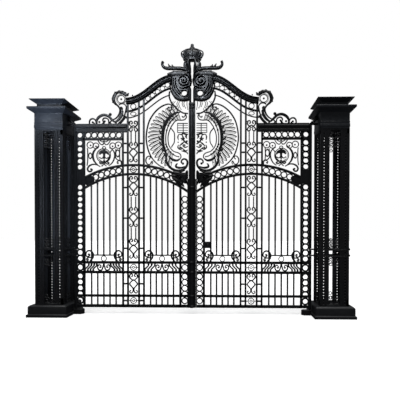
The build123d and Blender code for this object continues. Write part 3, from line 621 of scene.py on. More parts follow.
@dataclass
class Pier:
    """Hollow square pier: moulded plinth and head, openwork faces between.

    Attributes:
        side: Which side of the gateway.
        half: Half the width of the shaft.
        foot_z: Foot of the openwork.
        head_z: Head of the openwork.
        corner: Width of a corner post.
        ring_x: Middle of a column of small rings.
        ring_pitch: From ring to ring.
        slit_half: Half the width of the open middle.
        outer_slit_half: The same on the face away from the leaves.
        hoops: Heights of the two hoops at the waist.
        blocks: Foot and head of the solid stretches of the corner posts.
        traceries: Foot and head of each filling of the open middle, past the hoops.
        tracery_pitch: About the height of one pair of small scrolls.
    """

    side: Side
    half: float = 270.0
    foot_z: float = 219.0
    head_z: float = 3530.0
    corner: float = 46.0
    ring_x: float = 199.0
    ring_pitch: float = 55.5
    slit_half: float = 100.0
    outer_slit_half: float = 24.0
    hoops: tuple[float, ...] = (1155.0, 1273.0)
    blocks: tuple[tuple[float, float], ...] = ((219.0, 344.0), (3437.0, 3530.0))
    traceries: tuple[tuple[float, float], ...] = ((3190, 3512), (1287, 1490), (960, 1141), (244, 430))
    tracery_pitch: float = 76.0

    PLINTH = ((387, 0), (387, 44), (384, 50), (368, 54), (364, 60), (364, 190), (356, 206), (344, 212),
              (340, 219))
    HEAD = ((270, 3530), (270, 3559), (275, 3566), (275, 3612), (272, 3620), (272, 3652), (275, 3660),
            (270, 3668), (270, 3838),
            (274, 3842), (360, 3898), (367, 3906), (367, 3938), (362, 3944), (262, 3946), (238, 3950),
            (238, 4026), (244, 4034),
            (330, 4080), (338, 4086), (338, 4094), (334, 4098))

    @property
    def x(self) -> float:
        """Middle of the pier in the drawing."""
        low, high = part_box(f"{self.side.value}_pier_plinth")
        return ((low[0] + high[0]) / 2 - CENTRE_X) / MM

    def tracery(self, z0: float, z1: float) -> list[bpy.types.Object]:
        """Right half of the small scrolls that fill the open middle between two heights."""
        count = max(round((z1 - z0) / self.tracery_pitch), 1)
        pitch = (z1 - z0) / count
        y = -self.half + 15
        parts = []
        for i in range(count):
            z = z0 + pitch * (i + 0.5)
            stops = [(4, z - pitch * 0.5), (30, z - pitch * 0.26), (74, z - pitch * 0.3), (92, z),
                     (66, z + pitch * 0.34),
                     (36, z + pitch * 0.12), (56, z - pitch * 0.04)]
            parts.append(drawn_bar([(x, h, y) for x, h in sweep_curve(stops, 2)], (13, 15, 15, 10), (14,), 4))
            parts.append(drawn_bar([(4, z + pitch * 0.5, y), (20, z + pitch * 0.2, y),
                                    (6, z - pitch * 0.1, y)], (10, 12, 6), (12,), 4))
        return parts

    def face(self, slit_half: float) -> bpy.types.Object:
        """Openwork of one face, drawn about x = 0.

        Args:
            slit_half: Half the width of its open middle.

        Returns:
            The face as one piece, its front just behind the corner posts.
        """
        inner = self.half - self.corner
        y0, y1 = -self.half + 8, -self.half + 22
        middle = (y0 + y1) / 2
        parts = []
        for sign in (-1, 1):
            edges = sorted((sign * slit_half, sign * (self.ring_x - 26)))
            parts.append(flat_bar(*edges, self.foot_z, self.head_z, y0, y1))
            for x in (slit_half + 6, (slit_half + self.ring_x - 26) / 2, self.ring_x - 32):
                parts.append(drawn_bar([(sign * x, self.foot_z, y0), (sign * x, self.head_z, y0)], (12,),
                                       (12,), 6))
            count = int((self.head_z - self.foot_z) / self.ring_pitch)
            ring = spun_ring(sign * self.ring_x, self.foot_z + self.ring_pitch * 0.6, 21.5, 24, 12, 12, 4,
                             middle)
            parts.append(rowed(ring, count, dz=self.ring_pitch))
            for k in (-1, 1):
                x = sign * self.ring_x + k * 24
                parts.append(flat_bar(x - 4, x + 4, self.foot_z, self.head_z, y0, y1, 0.5))
            corner = sorted((sign * self.half, sign * inner))
            for z0, z1 in self.blocks:
                parts.append(flat_bar(*corner, z0, z1, -self.half, -inner, 1))
        low, high = self.hoops
        for z0, z1 in self.traceries:
            for scroll in self.tracery(z0, z1):
                parts += [scroll, mirrored(scroll)]
        for z in (low, high, self.head_z - 12, self.foot_z + 12):
            parts.append(flat_bar(-inner, inner, z - 13, z + 13, y0 - 2, y1 + 2))
        for z in (low, high):
            parts.append(drawn_bar([(-inner, z, -self.half), (inner, z, -self.half)], (14,), (12,), 6))
        return join("pier_face", parts)

    def painted_light_lining(self, slit_half: float) -> bpy.types.Object:
        """Lighter inner skin of one face's plates, drawn about x = 0: painted light on the hollow inside of the
        pier.
        """
        y = -self.half + 23
        parts = []
        for sign in (-1, 1):
            low, high = sorted((sign * (slit_half + 2), sign * (self.ring_x - 28)))
            parts.append(flat_bar(low, high, self.foot_z + 30, self.head_z - 30, y, y + 3, 0.5))
        return join("pier_lining_face", parts)

    def wrapped(self, name: str, draw: Callable[[float], bpy.types.Object]) -> bpy.types.Object:
        """One drawing set on all four faces, the outer cross face the most closed.

        Args:
            name: Name of the joined piece.
            draw: Draws one face for half the width of its open middle.

        Returns:
            The four faces as one piece.
        """
        outer = 1 if self.side is Side.LEFT else 3
        parts = []
        for quarter in range(4):
            one = draw(self.outer_slit_half if quarter == outer else self.slit_half)
            parts.append(turned_about(one, math.pi / 2 * quarter, at(0, 0)))
        whole = join(f"{self.side.value}_{name}", parts)
        pick(whole)
        bpy.ops.transform.translate(value=(self.x * MM, 0, 0))
        return settle()

    def moulded(self, name: str, profile: Sequence[Point]) -> bpy.types.Object:
        """Square moulding about the pier's axis."""
        return join(f"{self.side.value}_{name}", [eased(lathe(self.x, 0, profile, 4), 2)], 30)

    def bracket(self) -> bpy.types.Object:
        """Ogee strut from the head down to the arm over the heel post."""
        way = math.copysign(1, self.x)
        edge = abs(self.x) - self.half
        stops = [(way * (edge - rise), z) for rise, z in ((124, 3722), (92, 3726), (62, 3752), (30, 3794),
                                                          (-4, 3814))]
        leaf = [(x - way * 12, z + 44) for x, z in stops[1:]]
        parts = scrollwork([((34, 52, 62, 84, 110), stops), ((14, 18, 16, 12), leaf)], 72)
        return join(f"{self.side.value}_hinge_bracket", parts)

    def build(self, shop: PaintShop) -> None:
        """Make, finish and place the pier's pieces."""
        side = self.side.value
        shop.hang(self.bracket(), "piers", "hinge_iron")
        shop.hang(self.wrapped("pier_openwork", self.face), "piers", "pier_iron", f"{side}_pier_panels")
        # The inner skin takes the light inner paint: painted light inside the hollow pier.
        painted_light_lining = self.wrapped("pier_lining", self.painted_light_lining)
        shop.hang(painted_light_lining, "piers", "pier_iron")
        shop.coat(painted_light_lining, "pier_inside")
        shop.hang(self.moulded("pier_base", self.PLINTH), "piers", "pier_iron", f"{side}_pier_plinth")
        head = self.moulded("pier_capital", self.HEAD)
        shop.hang(head, "piers", "pier_iron", f"{side}_pier_head")
        # The heads take the lighter, bluer paint: a painted sheen of the light on them.
        shop.coat(head, "pier_head")


# ---- leaves: the grille --------------------------------------------------------


@dataclass
class Grille:
    """Stiles, rails, arched bands, pickets and ties of a leaf.

    Attributes:
        depth: Depth of a bar.
        foot: Underside of the upright bars.
        centre_x: Middle of the arched bands.
        centre_z: Middle of the arched bands.
        high_r: Radius of the upper arched rail.
        low_r: Radius of the lower one.
        rail: Width of an arched rail.
        hinge_end: Where the level bars end at the heel post.
        bays: Sides of the two bays.
        ties: Heights of the ties in the middle panel.
        stop_z: Where the middle pickets of a bay stand.
        shoulder_z: Head of the two bars on either side of the shoulder panel.
        stiles: Left edges of the middle stiles that reach the crest.
        stile: Width of a middle stile.
        levels: Foot and head of the level bars over the whole leaf.
    """

    depth: float = 30.0
    foot: float = 126.0
    centre_x: float = 1150.0
    centre_z: float = 910.0
    high_r: float = 2000.0
    low_r: float = 1825.0
    rail: float = 50.0
    hinge_end: float = 2258.0
    bays: tuple[tuple[float, float], ...] = BAYS
    ties: tuple[float, ...] = (259, 590, 1284, 1874, 2471, 3152, 3330)
    stop_z: float = 1150.0
    shoulder_z: float = 3551.0
    stiles: tuple[float, ...] = (927, 1023, 1241)
    stile: float = 36.0
    levels: tuple[tuple[float, float], ...] = ((126, 184), (331, 379), (790, 842), (981, 1033))

    def over(self, x: float, radius: float) -> float:
        """Height of an arched rail's middle over x."""
        return self.centre_z + math.sqrt(radius ** 2 - (x - self.centre_x) ** 2)

    def upright(self, x0: float, x1: float, top: float) -> bpy.types.Object:
        """Upright bar from the foot."""
        return flat_bar(x0, x1, self.foot, top, -self.depth / 2, self.depth / 2, 3)

    def level(self, x0: float, x1: float, z0: float, z1: float) -> bpy.types.Object:
        """Level bar."""
        return flat_bar(x0, x1, z0, z1, -self.depth / 2, self.depth / 2, 3)

    def arched(self, x0: float, x1: float, radius: float) -> bpy.types.Object:
        """Arched rail between two uprights."""
        a0, a1 = bearings(self.centre_x, radius, x0, x1)
        return drawn_bar(arc(self.centre_x, self.centre_z, radius, a0, a1, 24), (self.rail,),
                         (self.depth + 4,), 8)

    def pickets(self, x0: float, x1: float) -> list[bpy.types.Object]:
        """Pickets of one bay, the short ones standing on a bar over the ring."""
        gap = (x1 - x0) / 6
        parts = []
        for i in range(1, 6):
            x = x0 + gap * i
            top = self.over(x, self.low_r)
            z0 = self.stop_z if i in (2, 3, 4) else 1007.0
            parts.append(drawn_bar([(x, z0), (x, top)], (33,), (30,), 8))
            parts.append(drawn_bar([(x, self.foot + 40), (x, 815)], (33,), (30,), 8))
            parts.append(flat_bar(x - 17, x + 17, top - 52, top - 34, -17, 17, 4))
        parts.append(drawn_bar([(x0 + gap, self.stop_z), (x1 - gap, self.stop_z)], (26,), (26,), 8))
        return parts

    def build(self, shop: PaintShop) -> None:
        """Make and hang the grille."""
        end = self.hinge_end
        parts = [self.upright(78, 94, 2640), self.upright(208, 252, self.over(230, self.high_r)),
                 self.upright(2098, 2142, self.shoulder_z)]
        crest = Crest()
        for x in self.stiles:
            parts.append(self.upright(x, x + self.stile, crest.over(x + self.stile / 2) - 20))
        parts.append(self.upright(1337, 1337 + self.stile, self.shoulder_z))
        for z0, z1 in self.levels:
            parts.append(self.level(80, end, z0, z1))
        parts.append(self.level(1337, end, 3391, 3437))
        parts += [self.arched(end - 116, 208, self.high_r), self.arched(end - 116, 80, self.low_r)]
        for z in self.ties:
            for x in (963, 1277):
                parts.append(flat_bar(x, x + 60, z - 15, z + 15, -12, 12, 4))
                parts.append(blob(x + 30, z, 19, 40))
        for bay in self.bays:
            parts += self.pickets(*bay)
        hang_pair(shop, join("grille", parts), "grille", "lattice")


# ---- leaves: rings -----------------------------------------------------------


@dataclass
class RingWork:
    """Round rings of the borders, the top row and the arched band.

    Attributes:
        outside: Diameter of a border ring, which is also its pitch.
        hole: Radius of its opening.
        wire: Width of the ring's wire.
        hinge_wire: The same in the hinge column, where it nearly closes the corners.
        depth: Depth of a ring.
        meeting_x: Column beside the centre post.
        hinge_x: Column beside the heel post.
        bay_z: Foot of the columns over the middle rails.
        row_z: Height of the row under the top rail.
        row_x: Where that row starts.
        row_length: Its length.
        band_x: Middle of the arched band.
        band_z: Middle of the arched band.
        band_r: Radius of the arched band's ring centres.
    """

    outside: float = 116.0
    hole: float = 46.0
    wire: float = 20.0
    hinge_wire: float = 30.0
    depth: float = 24.0
    meeting_x: float = 144.0
    hinge_x: float = 2200.0
    bay_z: float = 1027.0
    row_z: float = 3493.0
    row_x: float = 1373.0
    row_length: float = 725.0
    band_x: float = 1150.0
    band_z: float = 910.0
    band_r: float = 1912.5

    def ring(self, x: float, z: float) -> bpy.types.Object:
        """One ring, forged a little into what it touches."""
        wire = self.wire if x < self.hinge_x else self.hinge_wire
        return spun_ring(x, z, self.hole + wire / 2, wire, self.depth, 20, 4)

    def column(self, x: float, z: float, count: int) -> bpy.types.Object:
        """Rings one above the other, the lowest at z."""
        ring = self.ring(x, z)
        return rowed(ring, count, dz=self.outside) if count > 1 else ring

    def border(self) -> bpy.types.Object:
        """Both columns, the row under the top rail and the gusset."""
        parts = []
        for x in (self.meeting_x, self.hinge_x):
            for z, count in ((259.5, 1), (389, 4), (911, 1)):
                parts.append(self.column(x, z, count))
        half = self.outside / 2
        parts.append(self.column(self.meeting_x, self.bay_z + half, 11))
        parts.append(self.column(self.hinge_x, self.bay_z + half, 13))
        parts.append(self.column(self.hinge_x, 2815 + half, 5))
        parts.append(self.column(self.hinge_x, self.row_z, 1))
        step = self.row_length / 6
        parts.append(rowed(self.ring(self.row_x + step / 2, self.row_z), 6, dx=step))
        edge = self.hinge_x - half
        parts.append(flat_bar(edge, edge + self.outside, 2535, 2815, -12, 12))
        parts.append(drawn_bar(sweep_curve([(edge + 16, 2560), (edge + 60, 2640), (edge + 56, 2720),
                                            (edge + 100, 2790)], 4),
                               (10, 46, 30, 8), (36,), 4))
        return join("border_rings", parts)

    def band(self) -> bpy.types.Object:
        """Rings between the rails of the arched band, and the boss on the pilaster."""
        parts = []
        for x0, x1, pitch, count in ((1373.0, 2098.0, 118.0, 5), (927.0, 252.0, 124.0, 6)):
            a0, a1 = bearings(self.band_x, self.band_r, x0, x1)
            step = math.copysign(math.degrees(pitch / self.band_r), a1 - a0)
            for i in range(count):
                x, z = polar(self.band_x, self.band_z, self.band_r, a0 + step * (i + 0.55))
                parts.append(self.ring(x, z))
            end = a0 + step * (count + 0.1)
            plate = arc(self.band_x, self.band_z, self.band_r, end, a1, 6)
            parts.append(drawn_bar(plate, (134, 130), (self.depth,), 4))
        middle = self.band_z + self.band_r
        parts.append(spun_ring(self.band_x, middle, 58, 19, 28, 24, 6))
        parts.append(spun_ring(self.band_x, middle, 22, 16, 34, 16, 6))
        for x in (-1, 1):
            parts.append(drawn_bar([(self.band_x + x * 60, middle), (self.band_x + x * 94, middle)], (18,),
                                   (22,), 6))
            parts.append(blob(self.band_x + x * 40, middle, 9, 26))
        return join("arch_rings", parts)

    def build(self, shop: PaintShop) -> None:
        """Make and hang the rings."""
        hang_pair(shop, self.border(), "border_ring_work", "border_rings")
        hang_pair(shop, self.band(), "arch_ring_work", "arch_rings")


# ---- leaves: scrollwork -------------------------------------------------------

Stroke = tuple[tuple[float, ...], Sequence[Point]]


def scrollwork(strokes: Sequence[Stroke], depth: float = 22.0, sides: int = 6, steps: int = 4,
               weight: float = 1.0) -> list[bpy.types.Object]:
    """Draw a set of curved bars.

    Args:
        strokes: Widths along each bar and the stops that it passes.
        depth: Depth of every bar.
        sides: Sides of the section; 4 makes a ridged leaf.
        steps: Steps between stops.
        weight: Scale of the widths.

    Returns:
        The bars.
    """
    return [drawn_bar(sweep_curve(stops, steps), [w * weight for w in widths], (depth,), sides)
            for widths, stops in strokes]


def blob(x: float, z: float, radius: float, depth: float = 30.0) -> bpy.types.Object:
    """Forge-rounded boss with a raised middle, seen from both sides."""
    clear_bench()
    bpy.ops.mesh.primitive_uv_sphere_add(segments=10, ring_count=6, radius=1.0, location=at(x, z))
    bpy.ops.transform.resize(value=(radius * MM, depth / 2 * MM, radius * MM), center_override=at(x, z))
    settle()
    bpy.ops.object.mode_set(mode="EDIT")
    return closed()


@dataclass
class Pilaster:
    """Narrow panel of crossing scrolls between the middle stiles.

    Attributes:
        x: Middle of the panel.
        crossings: Heights at which its scrolls cross.
        beaded: Foot and head of each pair of beaded bars.
    """

    x: float = 1150.0
    crossings: tuple[float, ...] = (3224, 2565, 1959, 1342, 660)
    beaded: tuple[tuple[float, float], ...] = ((3356, 3570), (2086, 2289), (1474, 1688))

    def bowl(self, z: float) -> list[Stroke]:
        """Bowl that stands on a crossing and ends in two volutes."""
        x = self.x
        return [((15, 17, 15, 9), [(x + s * 4, z - 12), (x + s * 46, z + 22), (x + s * 76, z + 62),
                                   (x + s * 66, z + 112),
                                   (x + s * 34, z + 122), (x + s * 18, z + 88), (x + s * 34, z + 66),
                                   (x + s * 46, z + 84)])
                for s in (-1, 1)]

    def drop(self, z: float) -> list[Stroke]:
        """Lozenge under a crossing that ends in two curled feet."""
        x = self.x
        return [((15, 17, 15, 9), [(x - s * 8, z + 14), (x + s * 44, z - 28), (x + s * 74, z - 74),
                                   (x + s * 46, z - 118),
                                   (x + s * 12, z - 158), (x + s * 10, z - 216), (x + s * 44, z - 254),
                                   (x + s * 74, z - 232),
                                   (x + s * 62, z - 200), (x + s * 46, z - 214)])
                for s in (-1, 1)]

    def beads(self, z0: float, z1: float) -> list[bpy.types.Object]:
        """Pair of upright bars with turned beads."""
        steps = int((z1 - z0) / 14)
        parts = []
        for s in (-1, 1):
            path = [(self.x + s * 44, z0 + (z1 - z0) * i / steps) for i in range(steps + 1)]
            parts.append(drawn_bar(path, tuple(30 if i % 2 else 19 for i in range(steps + 1)), (22,), 6))
        return parts

    def build(self, shop: PaintShop) -> None:
        """Make and hang the panel."""
        x = self.x
        strokes = []
        for z in self.crossings:
            strokes += self.bowl(z) + self.drop(z)
        strokes += self.bowl(3640)
        strokes += [((15, 17, 9), [(x, 3680), (x + s * 50, 3640), (x + s * 78, 3598), (x + s * 60, 3566),
                                   (x + s * 24, 3580),
                                   (x + s * 22, 3610), (x + s * 40, 3612)]) for s in (-1, 1)]
        parts = scrollwork(strokes, 22, weight=1.75)
        for span in self.beaded:
            parts += self.beads(*span)
        parts.append(spun_ring(x, 4048, 52, 18, 24, 20, 6))
        parts.append(resized(spun_ring(x, 3905, 54, 18, 24, 20, 6), (1, 1, 0.62), at(x, 3905)))
        for z in (911.0, 259.5):
            parts += [spun_ring(x, z, 58, 18, 24, 24, 6), spun_ring(x, z, 21, 15, 28, 16, 6)]
            for s in (-1, 1):
                parts.append(drawn_bar([(x + s * 62, z), (x + s * 92, z)], (18,), (20,), 6))
                parts.append(blob(x + s * 40, z, 8, 24))
        for z in (3750, 3152, 2483, 1872, 1261, 582):
            parts += [blob(x + s * 78, z, 13, 26) for s in (-1, 1)]
        hang_pair(shop, join("pilaster_work", parts), "pilaster_work", "pilaster_scrolls")


@dataclass
class Frieze:
    """Scrolls between the two middle rails and above them at the bay ends.

    Attributes:
        bays: Sides of the two bays.
        low: Foot of the frieze.
        high: Head of the frieze.
    """

    bays: tuple[tuple[float, float], ...] = BAYS
    low: float = 835.0
    high: float = 987.0

    def panel(self, x0: float, x1: float) -> list[bpy.types.Object]:
        """One bay: facing spirals, slanted strokes, ring and end scrolls."""
        middle, z = (x0 + x1) / 2, (self.low + self.high) / 2
        strokes, parts = [], []
        for s in (-1, 1):
            strokes.append(((17, 19, 17, 10), [(middle + s * 2, self.high), (middle + s * 14, z + 20),
                                               (middle + s * 40, z - 50),
                                               (middle + s * 96, z - 52), (middle + s * 124, z),
                                               (middle + s * 98, z + 48),
                                               (middle + s * 60, z + 32), (middle + s * 60, z - 6),
                                               (middle + s * 84, z - 8)]))
            parts.append(blob(middle + s * 78, z + 2, 15, 28))
            count = 3 if x1 - x0 < 700 else 4
            pitch = ((x1 - x0) / 2 - 150) / count
            for i in range(count):
                x = middle + s * (150 + pitch * (i + 0.42))
                strokes.append(((12, 20, 20, 12), [(x + s * 20, self.low + 26), (x + s * 42, self.low + 10),
                                                   (x + s * 36, z - 36),
                                                   (x, z), (x - s * 34, z + 38), (x - s * 40, self.high - 10),
                                                   (x - s * 18, self.high - 26)]))
        for s, x in ((1, x0), (-1, x1)):
            strokes.append(((14, 20, 24, 22, 14), [
                (x + s * 8, 1168), (x + s * 26, 1216), (x + s * 74, 1238), (x + s * 126, 1214),
                (x + s * 154, 1156),
                (x + s * 142, 1090), (x + s * 104, 1050), (x + s * 92, 1028)]))
            strokes.append(((14, 18, 20, 12), [
                (x + s * 8, 1168), (x + s * 16, 1132), (x + s * 46, 1118), (x + s * 76, 1136),
                (x + s * 78, 1166),
                (x + s * 54, 1174)]))
            strokes.append(((12, 18, 20, 12), [
                (x + s * 142, 1090), (x + s * 100, 1100), (x + s * 56, 1098), (x + s * 26, 1074),
                (x + s * 34, 1046),
                (x + s * 62, 1050)]))
            parts += [blob(x + s * 56, 1160, 14, 28), blob(x + s * 56, 1062, 14, 28)]
        parts += scrollwork(strokes, 24, weight=1.7)
        parts.append(spun_ring(middle, 1083, 50, 18, 24, 20, 6))
        return parts

    def build(self, shop: PaintShop) -> None:
        """Make and hang the frieze."""
        parts = []
        for bay in self.bays:
            parts += self.panel(*bay)
        hang_pair(shop, join("frieze_work", parts), "frieze_work", "frieze_scrolls")


@dataclass
class ShoulderPanel:
    """Panel of volutes round a palmette, beside the hinge column."""

    BARS = (
        ((12, 18, 18, 12), [(1621, 3249), (1558, 3209), (1524, 3152), (1517, 3085), (1537, 3007),
                            (1576, 2943), (1635, 2898)]),
        ((12, 26, 28, 14), [(1825, 3288), (1874, 3240), (1923, 3182), (1947, 3114), (1938, 3036),
                            (1906, 2968), (1848, 2912)]),
        ((16, 44, 46, 16), [(1632, 3112), (1664, 3154), (1725, 3170), (1784, 3156), (1816, 3115)]),
        ((40, 30, 16), [(1724, 3166), (1724, 3100), (1725, 3017)]),
        ((18, 12), [(1720, 3094), (1703, 3054), (1665, 3042), (1641, 3065)]),
        ((18, 12), [(1728, 3094), (1748, 3054), (1783, 3040), (1812, 3065)]),
        ((16, 18, 10), [(1723, 3007), (1700, 2953), (1654, 2929), (1627, 2953), (1650, 2972)]),
        ((16, 18, 10), [(1727, 3007), (1747, 2953), (1790, 2935), (1817, 2962), (1786, 2976)]),
        ((12, 14), [(1630, 3021), (1683, 2976), (1740, 2918), (1775, 2886)]),
        ((12, 14), [(1820, 3021), (1767, 2976), (1712, 2918), (1680, 2890)]),
        ((12, 16), [(1600, 3388), (1646, 3322), (1696, 3308), (1723, 3350), (1750, 3308), (1797, 3322),
                    (1845, 3388)]),
        ((12, 14), [(1640, 3390), (1690, 3362), (1723, 3378), (1756, 3362), (1806, 3390)]),
        ((14, 14), [(1414, 3250), (1418, 3182), (1420, 3085), (1413, 3000)]),
        ((12, 16, 12), [(1492, 3230), (1500, 3143), (1498, 3056), (1459, 3011), (1400, 2999), (1376, 2964)]),
        ((16, 10), [(1386, 2910), (1390, 2972), (1428, 2995), (1467, 2972), (1460, 2937), (1437, 2951)]),
        ((14, 14), [(2058, 3240), (2048, 3200), (2048, 3000), (2062, 2900)]),
        ((14, 22, 24, 12), [(1800, 2880), (1887, 2922), (1965, 2920), (2027, 2885), (2051, 2832),
                            (2028, 2788), (1982, 2790),
                            (1960, 2825), (1990, 2842)]),
        ((12, 14), [(1558, 3209), (1600, 3168), (1610, 3100), (1640, 3020)]),
    )
    RINGS = ((1735, 3094, 136, 14), (1735, 3094, 112, 7), (1557, 3286, 56, 15), (1885, 3286, 56, 15),
             (1444, 3298, 62, 15), (1998, 3302, 62, 15),
             (1725, 3240, 32, 13))
    OVALS = ((1458, 3139, 34, 66), (1998, 3092, 30, 54))
    DOTS = ((1557, 3276, 17), (1885, 3276, 17), (1446, 3290, 19), (1990, 3296, 17), (1641, 3058, 13),
            (1812, 3058, 13),
            (1652, 2962, 15), (1786, 2966, 15), (1447, 2950, 14), (1982, 2830, 20), (2036, 3100, 15),
            (1725, 3372, 16))

    def build(self, shop: PaintShop) -> None:
        """Make and hang the panel."""
        parts = scrollwork(self.BARS, 22, weight=1.65)
        parts += [spun_ring(x, z, r, w * 1.4, 20, 24, 6) for x, z, r, w in self.RINGS]
        for x, z, rx, rz in self.OVALS:
            parts.append(resized(spun_ring(x, z, rx, 17, 20, 20, 6), (1, 1, rz / rx), at(x, z)))
        parts += [blob(x, z, r) for x, z, r in self.DOTS]
        hang_pair(shop, join("shoulder_panel_work", parts), "shoulder_panel_work", "shoulder_panel")


@dataclass
class ShoulderScroll:
    """Open scroll that steps down from the crest to the hinge side."""

    BARS = (
        ((26, 22, 20, 16), [(1486, 4093), (1440, 4049), (1411, 3996), (1414, 3938), (1442, 3874),
                            (1489, 3822), (1547, 3791)]),
        ((18, 34, 40, 34, 18), [(1405, 4030), (1378, 3975), (1372, 3912), (1393, 3856), (1427, 3806),
                                (1470, 3767), (1521, 3745)]),
        ((14, 16, 14), [(1285, 4031), (1303, 4074), (1342, 4101), (1388, 4105), (1430, 4078)]),
        ((18, 18, 16), [(1284, 4035), (1299, 3958), (1321, 3880), (1353, 3814), (1400, 3758), (1451, 3712)]),
        ((22, 26, 22), [(1290, 3860), (1346, 3791), (1393, 3738), (1432, 3700)]),
        ((18, 34, 36, 36, 20), [(1480, 3735), (1536, 3762), (1594, 3818), (1643, 3864), (1721, 3886),
                                (1789, 3868), (1842, 3826),
                                (1870, 3771), (1866, 3706)]),
        ((16, 20, 12), [(1631, 3725), (1637, 3785), (1671, 3820), (1718, 3824), (1749, 3791), (1736, 3752),
                        (1708, 3756)]),
        ((22, 26), [(1701, 3778), (1726, 3740), (1752, 3708)]),
        ((14, 18, 14), [(1482, 3744), (1490, 3716), (1537, 3704), (1590, 3716), (1602, 3752)]),
        ((14, 18, 14), [(1556, 3798), (1606, 3744), (1640, 3704)]),
        ((18, 20, 18), [(1878, 3712), (1883, 3764), (1916, 3806), (1966, 3812), (2005, 3778), (2012, 3716)]),
    )
    LEAVES = (
        ((14, 44, 44, 30), [(1243, 4264), (1290, 4268), (1336, 4305), (1394, 4326), (1450, 4322)]),
        ((30, 46, 44, 26), [(1440, 4330), (1492, 4296), (1532, 4222), (1530, 4150), (1484, 4086)]),
        ((34, 8), [(1262, 4272), (1250, 4296), (1236, 4306)]),
        ((36, 8), [(1310, 4296), (1300, 4316), (1290, 4322)]),
        ((38, 8), [(1362, 4322), (1356, 4342), (1347, 4352)]),
        ((38, 10), [(1430, 4330), (1428, 4350), (1415, 4360)]),
        ((38, 10), [(1490, 4300), (1506, 4320), (1500, 4340)]),
        ((40, 8), [(1524, 4232), (1552, 4214), (1574, 4192)]),
        ((36, 8), [(1524, 4160), (1546, 4142), (1562, 4124)]),
        ((30, 10), [(1390, 4030), (1366, 4010), (1360, 3990)]),
        ((30, 10), [(1384, 3970), (1354, 3950), (1352, 3930)]),
        ((30, 10), [(1384, 3905), (1356, 3880), (1360, 3860)]),
    )
    DOTS = ((1387, 4190, 20), (1602, 3895, 32), (1817, 3750, 22), (1947, 3744, 22), (1920, 3726, 16),
            (1165, 4262, 14))

    def build(self, shop: PaintShop) -> None:
        """Make and hang the scroll."""
        parts = scrollwork(self.BARS, 28, weight=1.7)
        parts += scrollwork(self.LEAVES, 36, 4, weight=1.6)
        parts += [spun_ring(1387, 4190, 74, 18, 28, 28, 6), spun_ring(1387, 4190, 96, 10, 20, 28, 6)]
        parts += [blob(x, z, r, 34) for x, z, r in self.DOTS]
        hang_pair(shop, join("shoulder_scroll_work", parts), "shoulder_scroll_work", "shoulder_scroll")


# ---- leaves: centre panel ------------------------------------------------------


